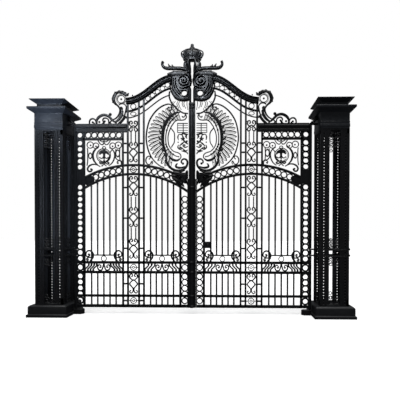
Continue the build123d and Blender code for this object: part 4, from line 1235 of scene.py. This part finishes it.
@dataclass
class FanPanel:
    """Fan of feathers between a round rim and an acanthus crescent.

    Attributes:
        x: Middle of the fan.
        z: Middle of the fan.
        feathers: How many there are.
        first: Angle of the lowest feather, in degrees.
        last: Angle of the highest.
        inner: Where a feather starts, from the middle of the fan.
        outer: Where it ends.
        lean: How far its start is turned ahead of its end, in degrees.
    """

    x: float = 237.0
    z: float = 3443.0
    feathers: int = 20
    first: float = -70.0
    last: float = 80.0
    inner: float = 345.0
    outer: float = 628.0
    lean: float = 8.0

    RIM = [(400, 4045), (419, 4078), (467, 4090), (535, 4074), (613, 4035), (697, 3967), (770, 3880),
           (836, 3764), (876, 3628),
           (895, 3492), (896, 3395), (874, 3259), (837, 3143), (786, 3046), (715, 2962), (626, 2891),
           (545, 2858)]
    CRESCENT = [(236, 3925), (314, 3923), (392, 3880), (461, 3812), (520, 3725), (556, 3628), (573, 3531),
                (578, 3414),
                (567, 3298), (534, 3191), (481, 3094)]
    LOBES = ((382, 3896, 456, 3919), (447, 3830, 511, 3853), (508, 3752, 566, 3779), (550, 3647, 623, 3694),
             (574, 3550, 645, 3595), (581, 3434, 662, 3473), (579, 3337, 644, 3370), (549, 3232, 613, 3240),
             (503, 3135, 561, 3147))
    FINE = (
        ((12, 14, 14, 12), [(272, 3874), (324, 3849), (375, 3799), (432, 3731), (466, 3669), (494, 3585),
                            (513, 3492), (516, 3395),
                            (509, 3317), (492, 3263), (464, 3213), (422, 3158), (368, 3112), (314, 3081),
                            (262, 3069)]),
        ((13, 14, 14, 12), [(200, 3857), (175, 3835), (142, 3855), (134, 3888), (115, 3864), (115, 3828),
                            (147, 3789), (209, 3777),
                            (286, 3779), (341, 3748), (381, 3694), (416, 3636), (393, 3595), (357, 3550),
                            (344, 3492),
                            (345, 3395), (354, 3337), (381, 3294), (407, 3248)]),
        ((14, 13, 14), [(416, 3636), (452, 3550), (471, 3453), (468, 3356), (451, 3284), (405, 3213),
                        (348, 3168), (274, 3145),
                        (228, 3108), (221, 3054), (253, 3015)]),
        ((18, 34, 20), [(247, 3023), (295, 2997), (359, 3005), (411, 3034), (455, 3085)]),
        ((22, 30, 34, 30, 26, 20, 18), [(488, 3127), (508, 3065), (505, 2988), (471, 2910), (410, 2846),
                                        (333, 2806), (240, 2800),
                                        (154, 2832), (106, 2893), (92, 2960), (113, 3009), (163, 3026),
                                        (204, 2999),
                                        (211, 2957), (184, 2940)]),
        ((14, 30, 26, 12), [(132, 2881), (210, 2856), (268, 2856), (316, 2875), (308, 2918), (284, 2937)]),
        ((12, 16, 10), [(804, 2962), (820, 2926), (867, 2924), (901, 2968), (902, 3026), (873, 3071),
                        (834, 3081), (817, 3050),
                        (838, 3030)]),
        ((12, 12, 10), [(804, 2962), (781, 2984), (773, 2949), (793, 2918)]),
        ((16, 16, 10), [(400, 4045), (396, 4006), (424, 3971), (463, 3977), (478, 4012), (454, 4031)]),
        ((14, 14), [(214, 3250), (160, 3205), (110, 3160), (86, 3120)]),
        ((10, 12), [(210, 3185), (150, 3165), (90, 3150)]),
    )
    ACCENTS = ((375, 3799, -50), (432, 3731, -56), (464, 3671, -64), (496, 3585, -76), (511, 3308, -100),
               (494, 3262, -116),
               (467, 3214, -124), (424, 3160, -132), (372, 3116, -145))
    DOTS = ((180, 2937, 24), (406, 2958, 15), (838, 3026, 13), (800, 2962, 15), (460, 4024, 20),
            (182, 3838, 16), (262, 3069, 14))

    def feather(self, angle: float) -> list[Stroke]:
        """One pointed feather with its vein, near an angle from the middle."""
        inner, outer, lean = self.inner, self.outer, self.lean
        strokes = []
        for spread in (-1.0, 1.0):
            strokes.append(((9, 14, 10) if spread > 0 else (6, 8, 6), [
                polar(self.x, self.z, inner, angle + lean + spread * 3.4),
                polar(self.x, self.z, inner + (outer - inner) * 0.45, angle + 2.5 + spread * 3.3),
                polar(self.x, self.z, inner + (outer - inner) * 0.85, angle + spread * 2.4),
                polar(self.x, self.z, outer, angle)]))
        strokes.append(((6, 6), [polar(self.x, self.z, inner, angle + lean),
                                 polar(self.x, self.z, inner + (outer - inner) * 0.45, angle + 2.5),
                                 polar(self.x, self.z, outer, angle)]))
        return strokes

    def build(self, shop: PaintShop) -> None:
        """Make and hang the fan."""
        parts = scrollwork([((24, 32, 32, 32, 24), self.RIM)], 26)
        feathers = []
        for i in range(self.feathers):
            feathers += self.feather(self.first + (self.last - self.first) * i / (self.feathers - 1))
        parts += scrollwork(feathers, 14, 4, 3, 1.5)
        parts += scrollwork([((20, 52, 62, 62, 52, 24), self.CRESCENT)], 42, 4)
        parts += scrollwork([((18, 26, 28, 26, 16), [(x - 22, z - 4) for x, z in self.CRESCENT[1:-1]])], 30)
        for x0, z0, x1, z1 in self.LOBES:
            parts += scrollwork([((58, 46, 10), [(x0 - 12, z0 - 30), (x0 + (x1 - x0) * 0.6, z0 - 12),
                                                 (x1, z1)])], 34, 4)
            parts += scrollwork([((34, 26, 8), [(x0 - 6, z0 - 48), (x1 - 14, z1 - 58)])], 28, 4)
        parts += scrollwork(self.FINE, 22, weight=1.75)
        for x, z, way in self.ACCENTS:
            a, b = polar(x, z, 30, way), polar(x, z, 30, way + 180)
            parts.append(drawn_bar([b, (x, z), a], (14, 44, 10), (34,), 4))
        parts += [blob(x, z, r) for x, z, r in self.DOTS]
        hang_pair(shop, join("fan_work", parts), "fan_work", "fan_panel")


@dataclass
class Cartouche:
    """Half of a plain shield over leafy sprays.

    Attributes:
        edge: Side of the half shield at the centre post.
        top: Its head.
        wide: Its other side.
    """

    edge: float = 84.0
    top: float = 3722.0
    wide: float = 292.0

    def build(self, shop: PaintShop) -> None:
        """Make and hang the half shield."""
        e, w, t = self.edge, self.wide, self.top
        parts = [
            flat_bar(e, w, t - 18, t, -9, 9), flat_bar(w - 14, w, t - 190, t, -9, 9),
            flat_bar(e, w, t - 100, t - 86, -9, 9),
            flat_bar((e + w) / 2 - 22, (e + w) / 2 - 4, t - 180, t, -9, 9),
            flat_bar(e, w - 10, t - 52, t - 44, -7, 7, 1), flat_bar(e, w - 10, t - 146, t - 136, -7, 7, 1),
            flat_bar(e, w - 8, t - 190, t - 176, -8, 8),
        ]
        sprays = (
            ((20, 34, 30, 14), [(e, t - 220), (e + 50, t - 214), (e + 90, t - 196), (e + 120, t - 222),
                                (e + 168, t - 214)]),
            ((16, 30, 12), [(e + 20, t - 226), (e + 40, t - 260), (e + 16, t - 300)]),
            ((16, 32, 12), [(e + 110, t - 236), (e + 92, t - 290), (e + 122, t - 340)]),
            ((12, 24, 10), [(e + 176, t - 214), (e + 196, t - 270), (e + 184, t - 330)]),
            ((18, 32, 26, 12), [(e, t - 410), (e + 44, t - 372), (e + 84, t - 330), (e + 60, t - 290)]),
            ((14, 28, 12), [(e + 66, t - 360), (e + 116, t - 400), (e + 168, t - 446)]),
            ((14, 26, 22, 10), [(e, t - 452), (e + 54, t - 470), (e + 96, t - 436), (e + 70, t - 410)]),
            ((12, 30, 22, 10), [(e + 100, t - 488), (e + 150, t - 506), (e + 196, t - 470),
                                (e + 180, t - 420)]),
            ((12, 20, 10), [(e, t - 520), (e + 50, t - 540), (e + 100, t - 530)]),
        )
        parts += scrollwork(sprays, 24, 4, weight=1.2)
        for x, z, r in ((e + 30, t - 250, 18), (e + 128, t - 300, 16), (e + 20, t - 352, 20),
                        (e + 62, t - 428, 18),
                        (e + 150, t - 470, 18), (e + 190, t - 372, 14)):
            parts.append(blob(x, z, r, 28))
        hang_pair(shop, join("cartouche_work", parts), "cartouche_work", "cartouche")


@dataclass
class LowerBoss:
    """Acanthus drop where the arched bands meet the centre post."""

    LEAVES = (
        ((50, 80, 70, 26), [(392, 2742), (330, 2760), (230, 2740), (120, 2700)]),
        ((60, 92, 84, 40), [(400, 2706), (320, 2690), (220, 2640), (130, 2560)]),
        ((50, 86, 70, 24), [(380, 2660), (300, 2620), (220, 2560), (160, 2490)]),
        ((40, 60, 44, 16), [(340, 2620), (270, 2560), (240, 2510), (250, 2470)]),
        ((50, 70, 60, 34), [(104, 2640), (110, 2700), (106, 2760), (96, 2800)]),
        ((40, 56, 40, 14), [(180, 2700), (150, 2650), (118, 2600), (96, 2520)]),
        ((36, 44, 14), [(240, 2770), (190, 2792), (140, 2800)]),
    )

    def build(self, shop: PaintShop) -> None:
        """Make and hang the boss."""
        parts = [flat_bar(100, 330, 2560, 2760, -18, 18, 30)]
        parts += scrollwork(self.LEAVES, 70, 4)
        parts += scrollwork([((22, 30, 26, 12), [(330, 2700), (260, 2712), (214, 2680), (232, 2640),
                                                 (268, 2652)])], 84)
        parts.append(blob(246, 2672, 24, 92))
        hang_pair(shop, join("lower_boss_work", parts), "lower_boss_work", "lower_boss")


# ---- leaves: crest -------------------------------------------------------------


def beside(path: Sequence[Point], offset: float) -> list[Point]:
    """Path that runs beside another, to the left of its way when positive."""
    out = []
    last = len(path) - 1
    for i, (x, z) in enumerate(path):
        (ax, az), (bx, bz) = path[max(i - 1, 0)], path[min(i + 1, last)]
        length = math.hypot(bx - ax, bz - az)
        out.append((x - (bz - az) / length * offset, z + (bx - ax) / length * offset))
    return out


@dataclass
class Crest:
    """Moulded ogee with the rails and rings below it, and the bow.

    Attributes:
        x0: Where the ogee starts at the boss.
        z0: Its height there.
        x1: Where it ends.
        z1: Its height there.
        width: Width of the moulding.
    """

    x0: float = 452.0
    z0: float = 4584.0
    x1: float = 1289.0
    z1: float = 4150.0
    width: float = 124.0

    RINGS = ((484, 4462), (580, 4394), (676, 4328), (772, 4262), (866, 4200))
    BOW = [(439, 4336), (448, 4249), (429, 4171), (388, 4093), (313, 4016), (246, 3958), (168, 3915),
           (82, 3907)]

    def line(self, drop: float = 0.0, start: float = 0.0) -> list[Point]:
        """Points of the ogee, lowered by a drop."""
        run, fall = self.x1 - self.x0, self.z0 - self.z1
        stops = ((self.x0, self.z0), (self.x0 + run * 0.35, self.z0 - fall * 0.17),
                 (self.x1 - run * 0.43, self.z1 + fall * 0.02), (self.x1, self.z1))
        points = []
        for i in range(25):
            t = start + (1 - start) * i / 24
            u = 1 - t
            weights = (u ** 3, 3 * u * u * t, 3 * u * t * t, t ** 3)
            x, z = (sum(w * p[k] for w, p in zip(weights, stops)) for k in (0, 1))
            points.append((x, z - drop))
        return points

    def over(self, x: float) -> float:
        """Height of the ogee over x."""
        line = self.line()
        for (xa, za), (xb, zb) in zip(line, line[1:]):
            if x <= xb:
                return za + (zb - za) * (x - xa) / (xb - xa)
        return line[-1][1]

    def moulding(self) -> bpy.types.Object:
        """Reeded moulding of the ogee."""
        line = self.line(0.0, -0.05)
        parts = [drawn_bar(line, (self.width - 16,), (62,), 8)]
        for offset, wide, deep in ((-48, 30, 92), (-14, 32, 82), (18, 30, 82), (50, 28, 96)):
            parts.append(drawn_bar(beside(line, offset), (wide,), (deep,), 12))
        return join("crest_moulding", parts)

    def rails(self) -> bpy.types.Object:
        """Two thin rails and the rings between them and the moulding."""
        parts = [drawn_bar(self.line(198, -0.05), (44,), (28,), 4), drawn_bar(self.line(326, -0.02), (26,),
                                                                              (22,), 4)]
        parts.append(drawn_bar(beside(self.line(198, -0.05), 8), (16,), (36,), 6))
        for x, z in self.RINGS:
            parts.append(spun_ring(x, z, 46, 15, 24, 20, 6))
        for (xa, za), (xb, zb) in zip(self.RINGS, self.RINGS[1:]):
            parts.append(blob((xa + xb) / 2, (za + zb) / 2, 12, 26))
        return join("crest_rail_work", parts)

    def bow(self) -> bpy.types.Object:
        """Curved bar from the boss down to the centre post."""
        parts = scrollwork([((32, 36, 36, 34, 30), self.BOW)], 28)
        for i, lean in enumerate((12, 30, 16, 44, 34, 62, 50)):
            x = 92 + 44 * i
            foot = 3988 + 26 * (i % 3)
            blade = [(x + lean * 0.2, 4166 - i * 4), (x + lean * 0.9, 4090), (x - 6, foot)]
            parts += scrollwork([((9, 16, 9), blade)], 12, 4)
            parts.append(blob(x - 6, foot, 11, 16))
        return join("crest_bow_work", parts)

    def build(self, shop: PaintShop) -> None:
        """Make and hang the crest."""
        hang_pair(shop, self.moulding(), "crest_moulding", "crest_arch")
        hang_pair(shop, self.rails(), "crest_rail_work", "crest_rails")
        hang_pair(shop, self.bow(), "crest_bow_work", "crest_bow")


@dataclass
class CrestBoss:
    """Great volute with its horn of leaves and the neck under the crown."""

    BODY = (
        ((396, 408, 414, 390), [(214, 4352), (216, 4480), (222, 4600), (212, 4716)]),
        ((230, 204, 176, 132, 86, 82, 74), [(302, 4384), (304, 4310), (290, 4250), (240, 4208), (170, 4194),
                                            (100, 4192), (32, 4190)]),
        ((82, 84, 88), [(57, 4186), (58, 4290), (60, 4390)]),
        ((60, 60, 50), [(404, 4650), (412, 4560), (420, 4480)]),
        ((46, 46), [(39, 4118), (39, 4200)]),
        ((46, 52, 56, 48, 38), [(40, 4690), (42, 4750), (48, 4810), (54, 4870), (52, 4924)]),
    )
    RIDGES = (
        ((28, 30, 30, 26), [(420, 4520), (430, 4440), (420, 4370), (386, 4290), (326, 4210), (246, 4166),
                            (150, 4156), (56, 4172)]),
        ((22, 28, 28, 14), [(392, 4592), (398, 4500), (390, 4420), (356, 4340), (298, 4262), (240, 4218)]),
        ((20, 26, 26, 14), [(362, 4588), (362, 4500), (350, 4430), (318, 4360), (268, 4296), (224, 4262)]),
        ((26, 30, 28, 16), [(322, 4592), (324, 4500), (306, 4420), (266, 4352), (226, 4300)]),
        ((30, 30, 26, 20), [(32, 4180), (31, 4280), (34, 4380), (64, 4424), (120, 4402), (190, 4388)]),
        ((20, 22, 12), [(74, 4200), (78, 4270), (70, 4340)]),
        ((24, 26, 20), [(28, 4450), (26, 4540), (28, 4640), (44, 4716)]),
    )
    BAND = ((80, 112, 120, 112, 88, 50), [(96, 4660), (180, 4674), (280, 4676), (380, 4668), (440, 4658),
                                          (480, 4652)])
    HORN = [(60, 4700), (120, 4748), (200, 4774), (300, 4779), (400, 4780), (480, 4780), (544, 4798),
            (580, 4842), (580, 4884), (566, 4912)]
    TEETH = (
        ((50, 36, 10), [(340, 4790), (384, 4822), (392, 4858)]),
        ((50, 36, 10), [(402, 4792), (446, 4828), (468, 4872)]),
    )
    EYE = (170.0, 4540.0)

    def build(self, shop: PaintShop) -> None:
        """Make and hang both halves of the boss."""
        parts = scrollwork(self.BODY, 56, 6)
        parts += scrollwork(self.RIDGES, 104, 8)
        parts += scrollwork([self.BAND], 92, 8)
        horn = sweep_curve(self.HORN, 4)
        parts.append(drawn_bar(horn, (48, 74, 76, 72, 66, 56, 46, 22), (64,), 12))
        for offset, wide in ((17, 26), (-17, 26)):
            parts.append(drawn_bar(beside(horn, offset), (wide, wide, wide, wide * 0.7, 10),
                                   (76, 76, 72, 60), 10))
        parts += scrollwork(self.TEETH, 40, 4)
        x, z = self.EYE
        volute, collar = coil(x, z, 122, 30, 118, 1.75, 40), arc(x, z, 158, 170, 300, 14)
        for stretch, wide, deep in ((volute, 34, 124), (collar, 20, 104)):
            parts.append(drawn_bar(stretch, (wide, wide, wide * 0.8), (deep,), 8))
        parts.append(drawn_bar([(96, 4720), (60, 4670), (46, 4600), (52, 4540)], (30, 34, 34, 24), (112,), 8))
        parts.append(blob(x, z, 20, 132))
        parts.append(blob(574, 4900, 22, 60))
        parts += [blob(98, 4238, 22, 50), blob(212, 4350, 18, 50)]
        parts.append(drawn_bar(arc(154, 4296, 58, 0, 360, 24), (14,), (84,), 6))
        for angle in (-74, -38, -4, 32, 68):
            parts.append(self.neck_leaf(angle))
        hang_pair(shop, join("crest_boss_work", parts), "crest_boss_work", "crest_boss")

    def neck_leaf(self, angle: float) -> bpy.types.Object:
        """One leaf of the basket that carries the crown.

        Args:
            angle: Degrees round the neck from the side.

        Returns:
            The leaf, clear of the joint of the leaves.
        """
        stops = [(60, 4700), (94, 4750), (126, 4800), (142, 4850), (134, 4892), (108, 4926)]
        blade = ((44, 62, 72, 66, 52, 34), stops)
        vein = ((14, 20, 22, 20, 16, 12), [(x + 20, z) for x, z in stops])
        leaf = turned_about(join("neck_leaf", scrollwork([blade, vein], 50, 4, 3)), math.radians(angle),
                            at(0, 4800))
        pick(leaf)
        edit_all()
        bpy.ops.transform.resize(value=(0.86, 0.62, 1), center_override=at(0, 4800))
        bpy.ops.transform.translate(value=(26 * MM, 0, 0))
        clear_bench()
        return leaf


@dataclass
class CentrePost:
    """Moulded post that covers the joint of the leaves, and its cap.

    Attributes:
        x: Middle of the post.
        half: Half its width.
        foot_half: Half the width of its wider lower stretch.
        foot_top: Head of that stretch.
        foot: Underside of the post.
        top: Head of the cap.
    """

    x: float = -3.0
    half: float = 62.0
    foot_half: float = 77.0
    foot_top: float = 2640.0
    foot: float = 126.0
    top: float = 4112.0

    def build(self, shop: PaintShop) -> None:
        """Make and hang the post."""
        z0, z1 = self.foot, self.top - 8
        parts = [flat_bar(self.x - self.half, self.x + self.half, z0, z1, -26, 26, 4)]
        parts.append(flat_bar(self.x - self.foot_half, self.x + self.foot_half, z0, self.foot_top, -22, 22,
                              4))
        for dx, wide, deep in ((0, 84, 100), (-53, 16, 70), (53, 16, 70)):
            parts.append(drawn_bar([(self.x + dx, z0), (self.x + dx, z1)], (wide,), (deep,), 12))
        for z in (155.0, 355.0, 815.0, 1007.0, 2470.0, 3420.0):
            parts.append(eased(lathe(self.x, 0, [(52, z - 20), (58, z - 12), (58, z + 12), (52, z + 20)],
                                     12), 2))
        cap = [(50, 3990), (56, 4002), (56, 4020), (48, 4028), (48, 4052), (57, 4064), (57, 4084),
               (48, 4098), (34, 4112)]
        parts.append(resized(lathe(self.x, 0, cap, 24), (1.1, 1, 1), at(self.x, 4000)))
        post = join("centre_post_work", parts)
        shop.hang(post, "left_leaf", "leaf_iron", "left_leaf_centre_post")


@dataclass
class Crown:
    """Flattened crown: band with pearls and leaves, ribbed cap and knob.

    Attributes:
        x: Its axis.
        band_z: Foot of the band.
        band_r: Radius of the band.
        squash: Its depth as a share of its width.
    """

    x: float = 0.0
    band_z: float = 4924.0
    band_r: float = 172.0
    squash: float = 0.4

    CAP = ((150, 4980), (186, 4998), (202, 5030), (205, 5062), (192, 5094), (150, 5118), (100, 5134),
           (54, 5148), (30, 5168), (18, 5190))

    def rib(self) -> bpy.types.Object:
        """One full arch with pearls that lies on the cap."""
        x = self.x
        half = [(a + 7, b + 4) for a, b in self.CAP]
        path = [(x - a, b) for a, b in half] + [(x + a, b) for a, b in half[::-1]]
        parts = scrollwork([((30, 26, 24, 22, 24, 26, 30), path)], 30, 6, 2)
        for a, b in half[1:8]:
            parts += [blob(x - a, b, 13, 40), blob(x + a, b, 13, 40)]
        return join("rib", parts)

    def round_about(self, piece: bpy.types.Object, angles: Sequence[float]) -> list[bpy.types.Object]:
        """Copies of a piece turned about the crown's axis; the first piece goes."""
        parts = []
        for angle in angles:
            parts.append(turned_about(duplicate(piece), math.radians(angle), at(self.x, self.band_z)))
        bpy.data.objects.remove(piece)
        return parts

    def build(self, shop: PaintShop) -> None:
        """Make and hang the crown."""
        x, z, r = self.x, self.band_z, self.band_r
        band = [(r - 14, z), (r + 2, z + 6), (r + 2, z + 14), (r - 8, z + 20), (r - 8, z + 46),
                (r + 2, z + 52), (r + 2, z + 60),
                (r - 14, z + 66)]
        parts = [lathe(x, 0, band, 32), lathe(x, 0, [(a * 0.9, b - 8) for a, b in self.CAP], 32)]
        parts += self.round_about(self.rib(), (0, 45, 90, 135))
        blade = [(x + r - 4, z + 56), (x + r + 14, z + 84), (x + r + 26, z + 112), (x + r + 40, z + 130)]
        leaf = scrollwork([((30, 58, 40, 14), blade)], 40, 4, 2)[0]
        parts += self.round_about(leaf, [45 * i + 22.5 for i in range(8)])
        parts += self.round_about(blob(x + r - 6, z + 33, 16, 20), [22.5 * i for i in range(16)])
        knob = [(26, 5160), (22, 5180), (14, 5192), (24, 5200), (32, 5214), (32, 5230), (24, 5244),
                (10, 5252), (4, 5254)]
        parts.append(lathe(x, 0, knob, 20))
        crown = resized(join("crown_work", parts), (1, self.squash, 1), at(x, z))
        shop.hang(crown, "left_leaf", "leaf_iron", "left_leaf_crown")


@dataclass
class Lock:
    """Rim lock on the inner bar of the right leaf.

    Attributes:
        x0: Left side of the case.
        x1: Right side.
        z0: Foot of the case.
        z1: Head.
    """

    x0: float = 236.0
    x1: float = 352.0
    z0: float = 1292.0
    z1: float = 1420.0

    def build(self, shop: PaintShop) -> None:
        """Make and hang the lock."""
        x, z = (self.x0 + self.x1) / 2, (self.z0 + self.z1) / 2
        parts = [
            flat_bar(self.x0, self.x1, self.z0, self.z1, -46, -15, 4),
            flat_bar(self.x0 + 12, self.x1 - 12, self.z0 + 12, self.z1 - 12, -50, -40, 3),
            spun_ring(x + 14, z + 14, 17, 8, 12, 20, 6, -52), blob(x + 14, z + 14, 12, 90),
            spun_ring(x + 14, z - 34, 9, 5, 8, 16, 6, -50),
        ]
        for dx in (18, self.x1 - self.x0 - 18):
            for dz in (18, self.z1 - self.z0 - 18):
                parts.append(spun_ring(self.x0 + dx, self.z0 + dz, 3, 5, 8, 10, 6, -50))
        shop.hang(join("right_lock_work", parts), "right_leaf", "hinge_iron", "right_leaf_lock_case")


# ---- stage -------------------------------------------------------------------


@dataclass
class Studio:
    """Pale floor, soft light and the camera.

    Attributes:
        place: Where the camera stands.
        turn: Its turn about the three axes.
        lens: Its focal length in millimetres.
        shift: Its shift in widths of the picture.
        floor_size: Edge of the floor in metres.
    """

    place: tuple[float, float, float] = (3.4465, -7.2409, 1.608)
    turn: tuple[float, float, float] = (math.pi / 2 - 0.01238, -0.00145, 0.02057)
    lens: float = 33.483
    shift: tuple[float, float] = (-0.0584, 0.0912)
    floor_size: float = 120.0

    def floor(self) -> None:
        """Lay the floor."""
        clear_bench()
        bpy.ops.mesh.primitive_plane_add(size=self.floor_size, location=(CENTRE_X, 0.0, -0.001))
        floor = settle()
        floor.name = "studio_floor"
        material = bpy.data.materials.new("pale_floor")
        material.use_nodes = True
        tree = material.node_tree
        shader = tree.nodes["Principled BSDF"]
        seen = wired(tree, "LightPath").outputs["Is Camera Ray"]
        tone = blended(tree, seen, (0.08, 0.08, 0.085, 1), (0.92, 0.92, 0.92, 1))
        tree.links.new(tone, shader.inputs["Base Color"])
        shader.inputs["Roughness"].default_value = 0.9
        lift = wired(tree, "Math", {0: seen, 1: 0.55}, operation="MULTIPLY")
        tree.links.new(lift.outputs[0], shader.inputs["Emission Strength"])
        shader.inputs["Emission Color"].default_value = (1, 1, 1, 1)
        floor.data.materials.append(material)

    def spot(self, place: Point, aim: Point, cone: float, power: float, colour: Point) -> None:
        """Hang one soft-edged spot light.

        Args:
            place: Where it hangs, in metres from the middle of the gateway.
            aim: What it faces.
            cone: Angle of its cone, in degrees.
            power: Watts.
            colour: Its colour.
        """
        bpy.ops.object.light_add(type="SPOT", location=Vector((CENTRE_X, 0.0, 0.0)) + Vector(place))
        light = bpy.context.object
        light.data.energy = power
        light.data.spot_size = math.radians(cone)
        light.data.spot_blend = 1.0
        light.data.shadow_soft_size = 0.5
        light.data.color = colour
        light.rotation_euler = (Vector(aim) - Vector(place)).to_track_quat("-Z", "Y").to_euler()

    def light(self) -> None:
        """Hang the lights and set the sky."""
        bpy.ops.object.light_add(type="SUN", location=(CENTRE_X, 0, 12), rotation=(math.radians(12), 0, 0))
        sky = bpy.context.object
        sky.data.energy = 2.2
        sky.data.angle = math.radians(50)
        cool = (0.72, 0.83, 1.0)
        self.spot((-3.6, -6.0, 0.5), (-2.75, -0.35, 4.0), 15.0, 3000.0, cool)
        self.spot((-5.6, -5.6, 5.9), (-2.75, -0.3, 3.8), 15.0, 300.0, cool)
        self.spot((0.4, -7.8, 2.6), (-2.85, 0.0, 2.2), 26.0, 900.0, cool)
        self.spot((-3.4, -7.0, 7.2), (-1.2, 0.0, 4.2), 22.0, 1100.0, (0.86, 0.92, 1.0))
        self.spot((-0.8, -6.6, 7.6), (0.0, 0.0, 4.65), 20.0, 1500.0, (0.86, 0.92, 1.0))
        world = bpy.data.worlds.new("studio")
        bpy.context.scene.world = world
        world.use_nodes = True
        tree = world.node_tree
        shown = tree.nodes["Background"]
        shown.inputs["Color"].default_value = (1, 1, 1, 1)
        shown.inputs["Strength"].default_value = 1.0
        lit = wired(tree, "Background", {"Color": (0.93, 0.96, 1.0, 1), "Strength": 0.12})
        seen = wired(tree, "LightPath").outputs["Is Camera Ray"]
        mix = wired(tree, "MixShader", {0: seen, 1: lit.outputs[0], 2: shown.outputs[0]})
        tree.links.new(mix.outputs[0], tree.nodes["World Output"].inputs["Surface"])
        bpy.context.scene.view_settings.view_transform = "Standard"

    def camera(self) -> None:
        """Stand the camera before the gate."""
        bpy.ops.object.camera_add(location=self.place, rotation=self.turn)
        camera = bpy.context.object
        camera.data.lens = self.lens
        camera.data.shift_x, camera.data.shift_y = self.shift
        bpy.context.scene.camera = camera

    def build(self) -> None:
        """Set up the whole studio."""
        self.floor()
        self.light()
        self.camera()


def main() -> None:
    """Build the studio, then each piece in order."""
    logging.basicConfig(level=logging.INFO, format="%(message)s")
    clear_bench()
    Studio().build()
    shop = PaintShop.opened()
    shop.coat_frame()
    for side in Side:
        Pier(side).build(shop)
    for work in (Grille, RingWork, Pilaster, Frieze, ShoulderPanel, ShoulderScroll, FanPanel, Cartouche,
                 LowerBoss, Crest, CrestBoss, CentrePost, Crown, Lock):
        work().build(shop)


if __name__ == "__main__":
    main()
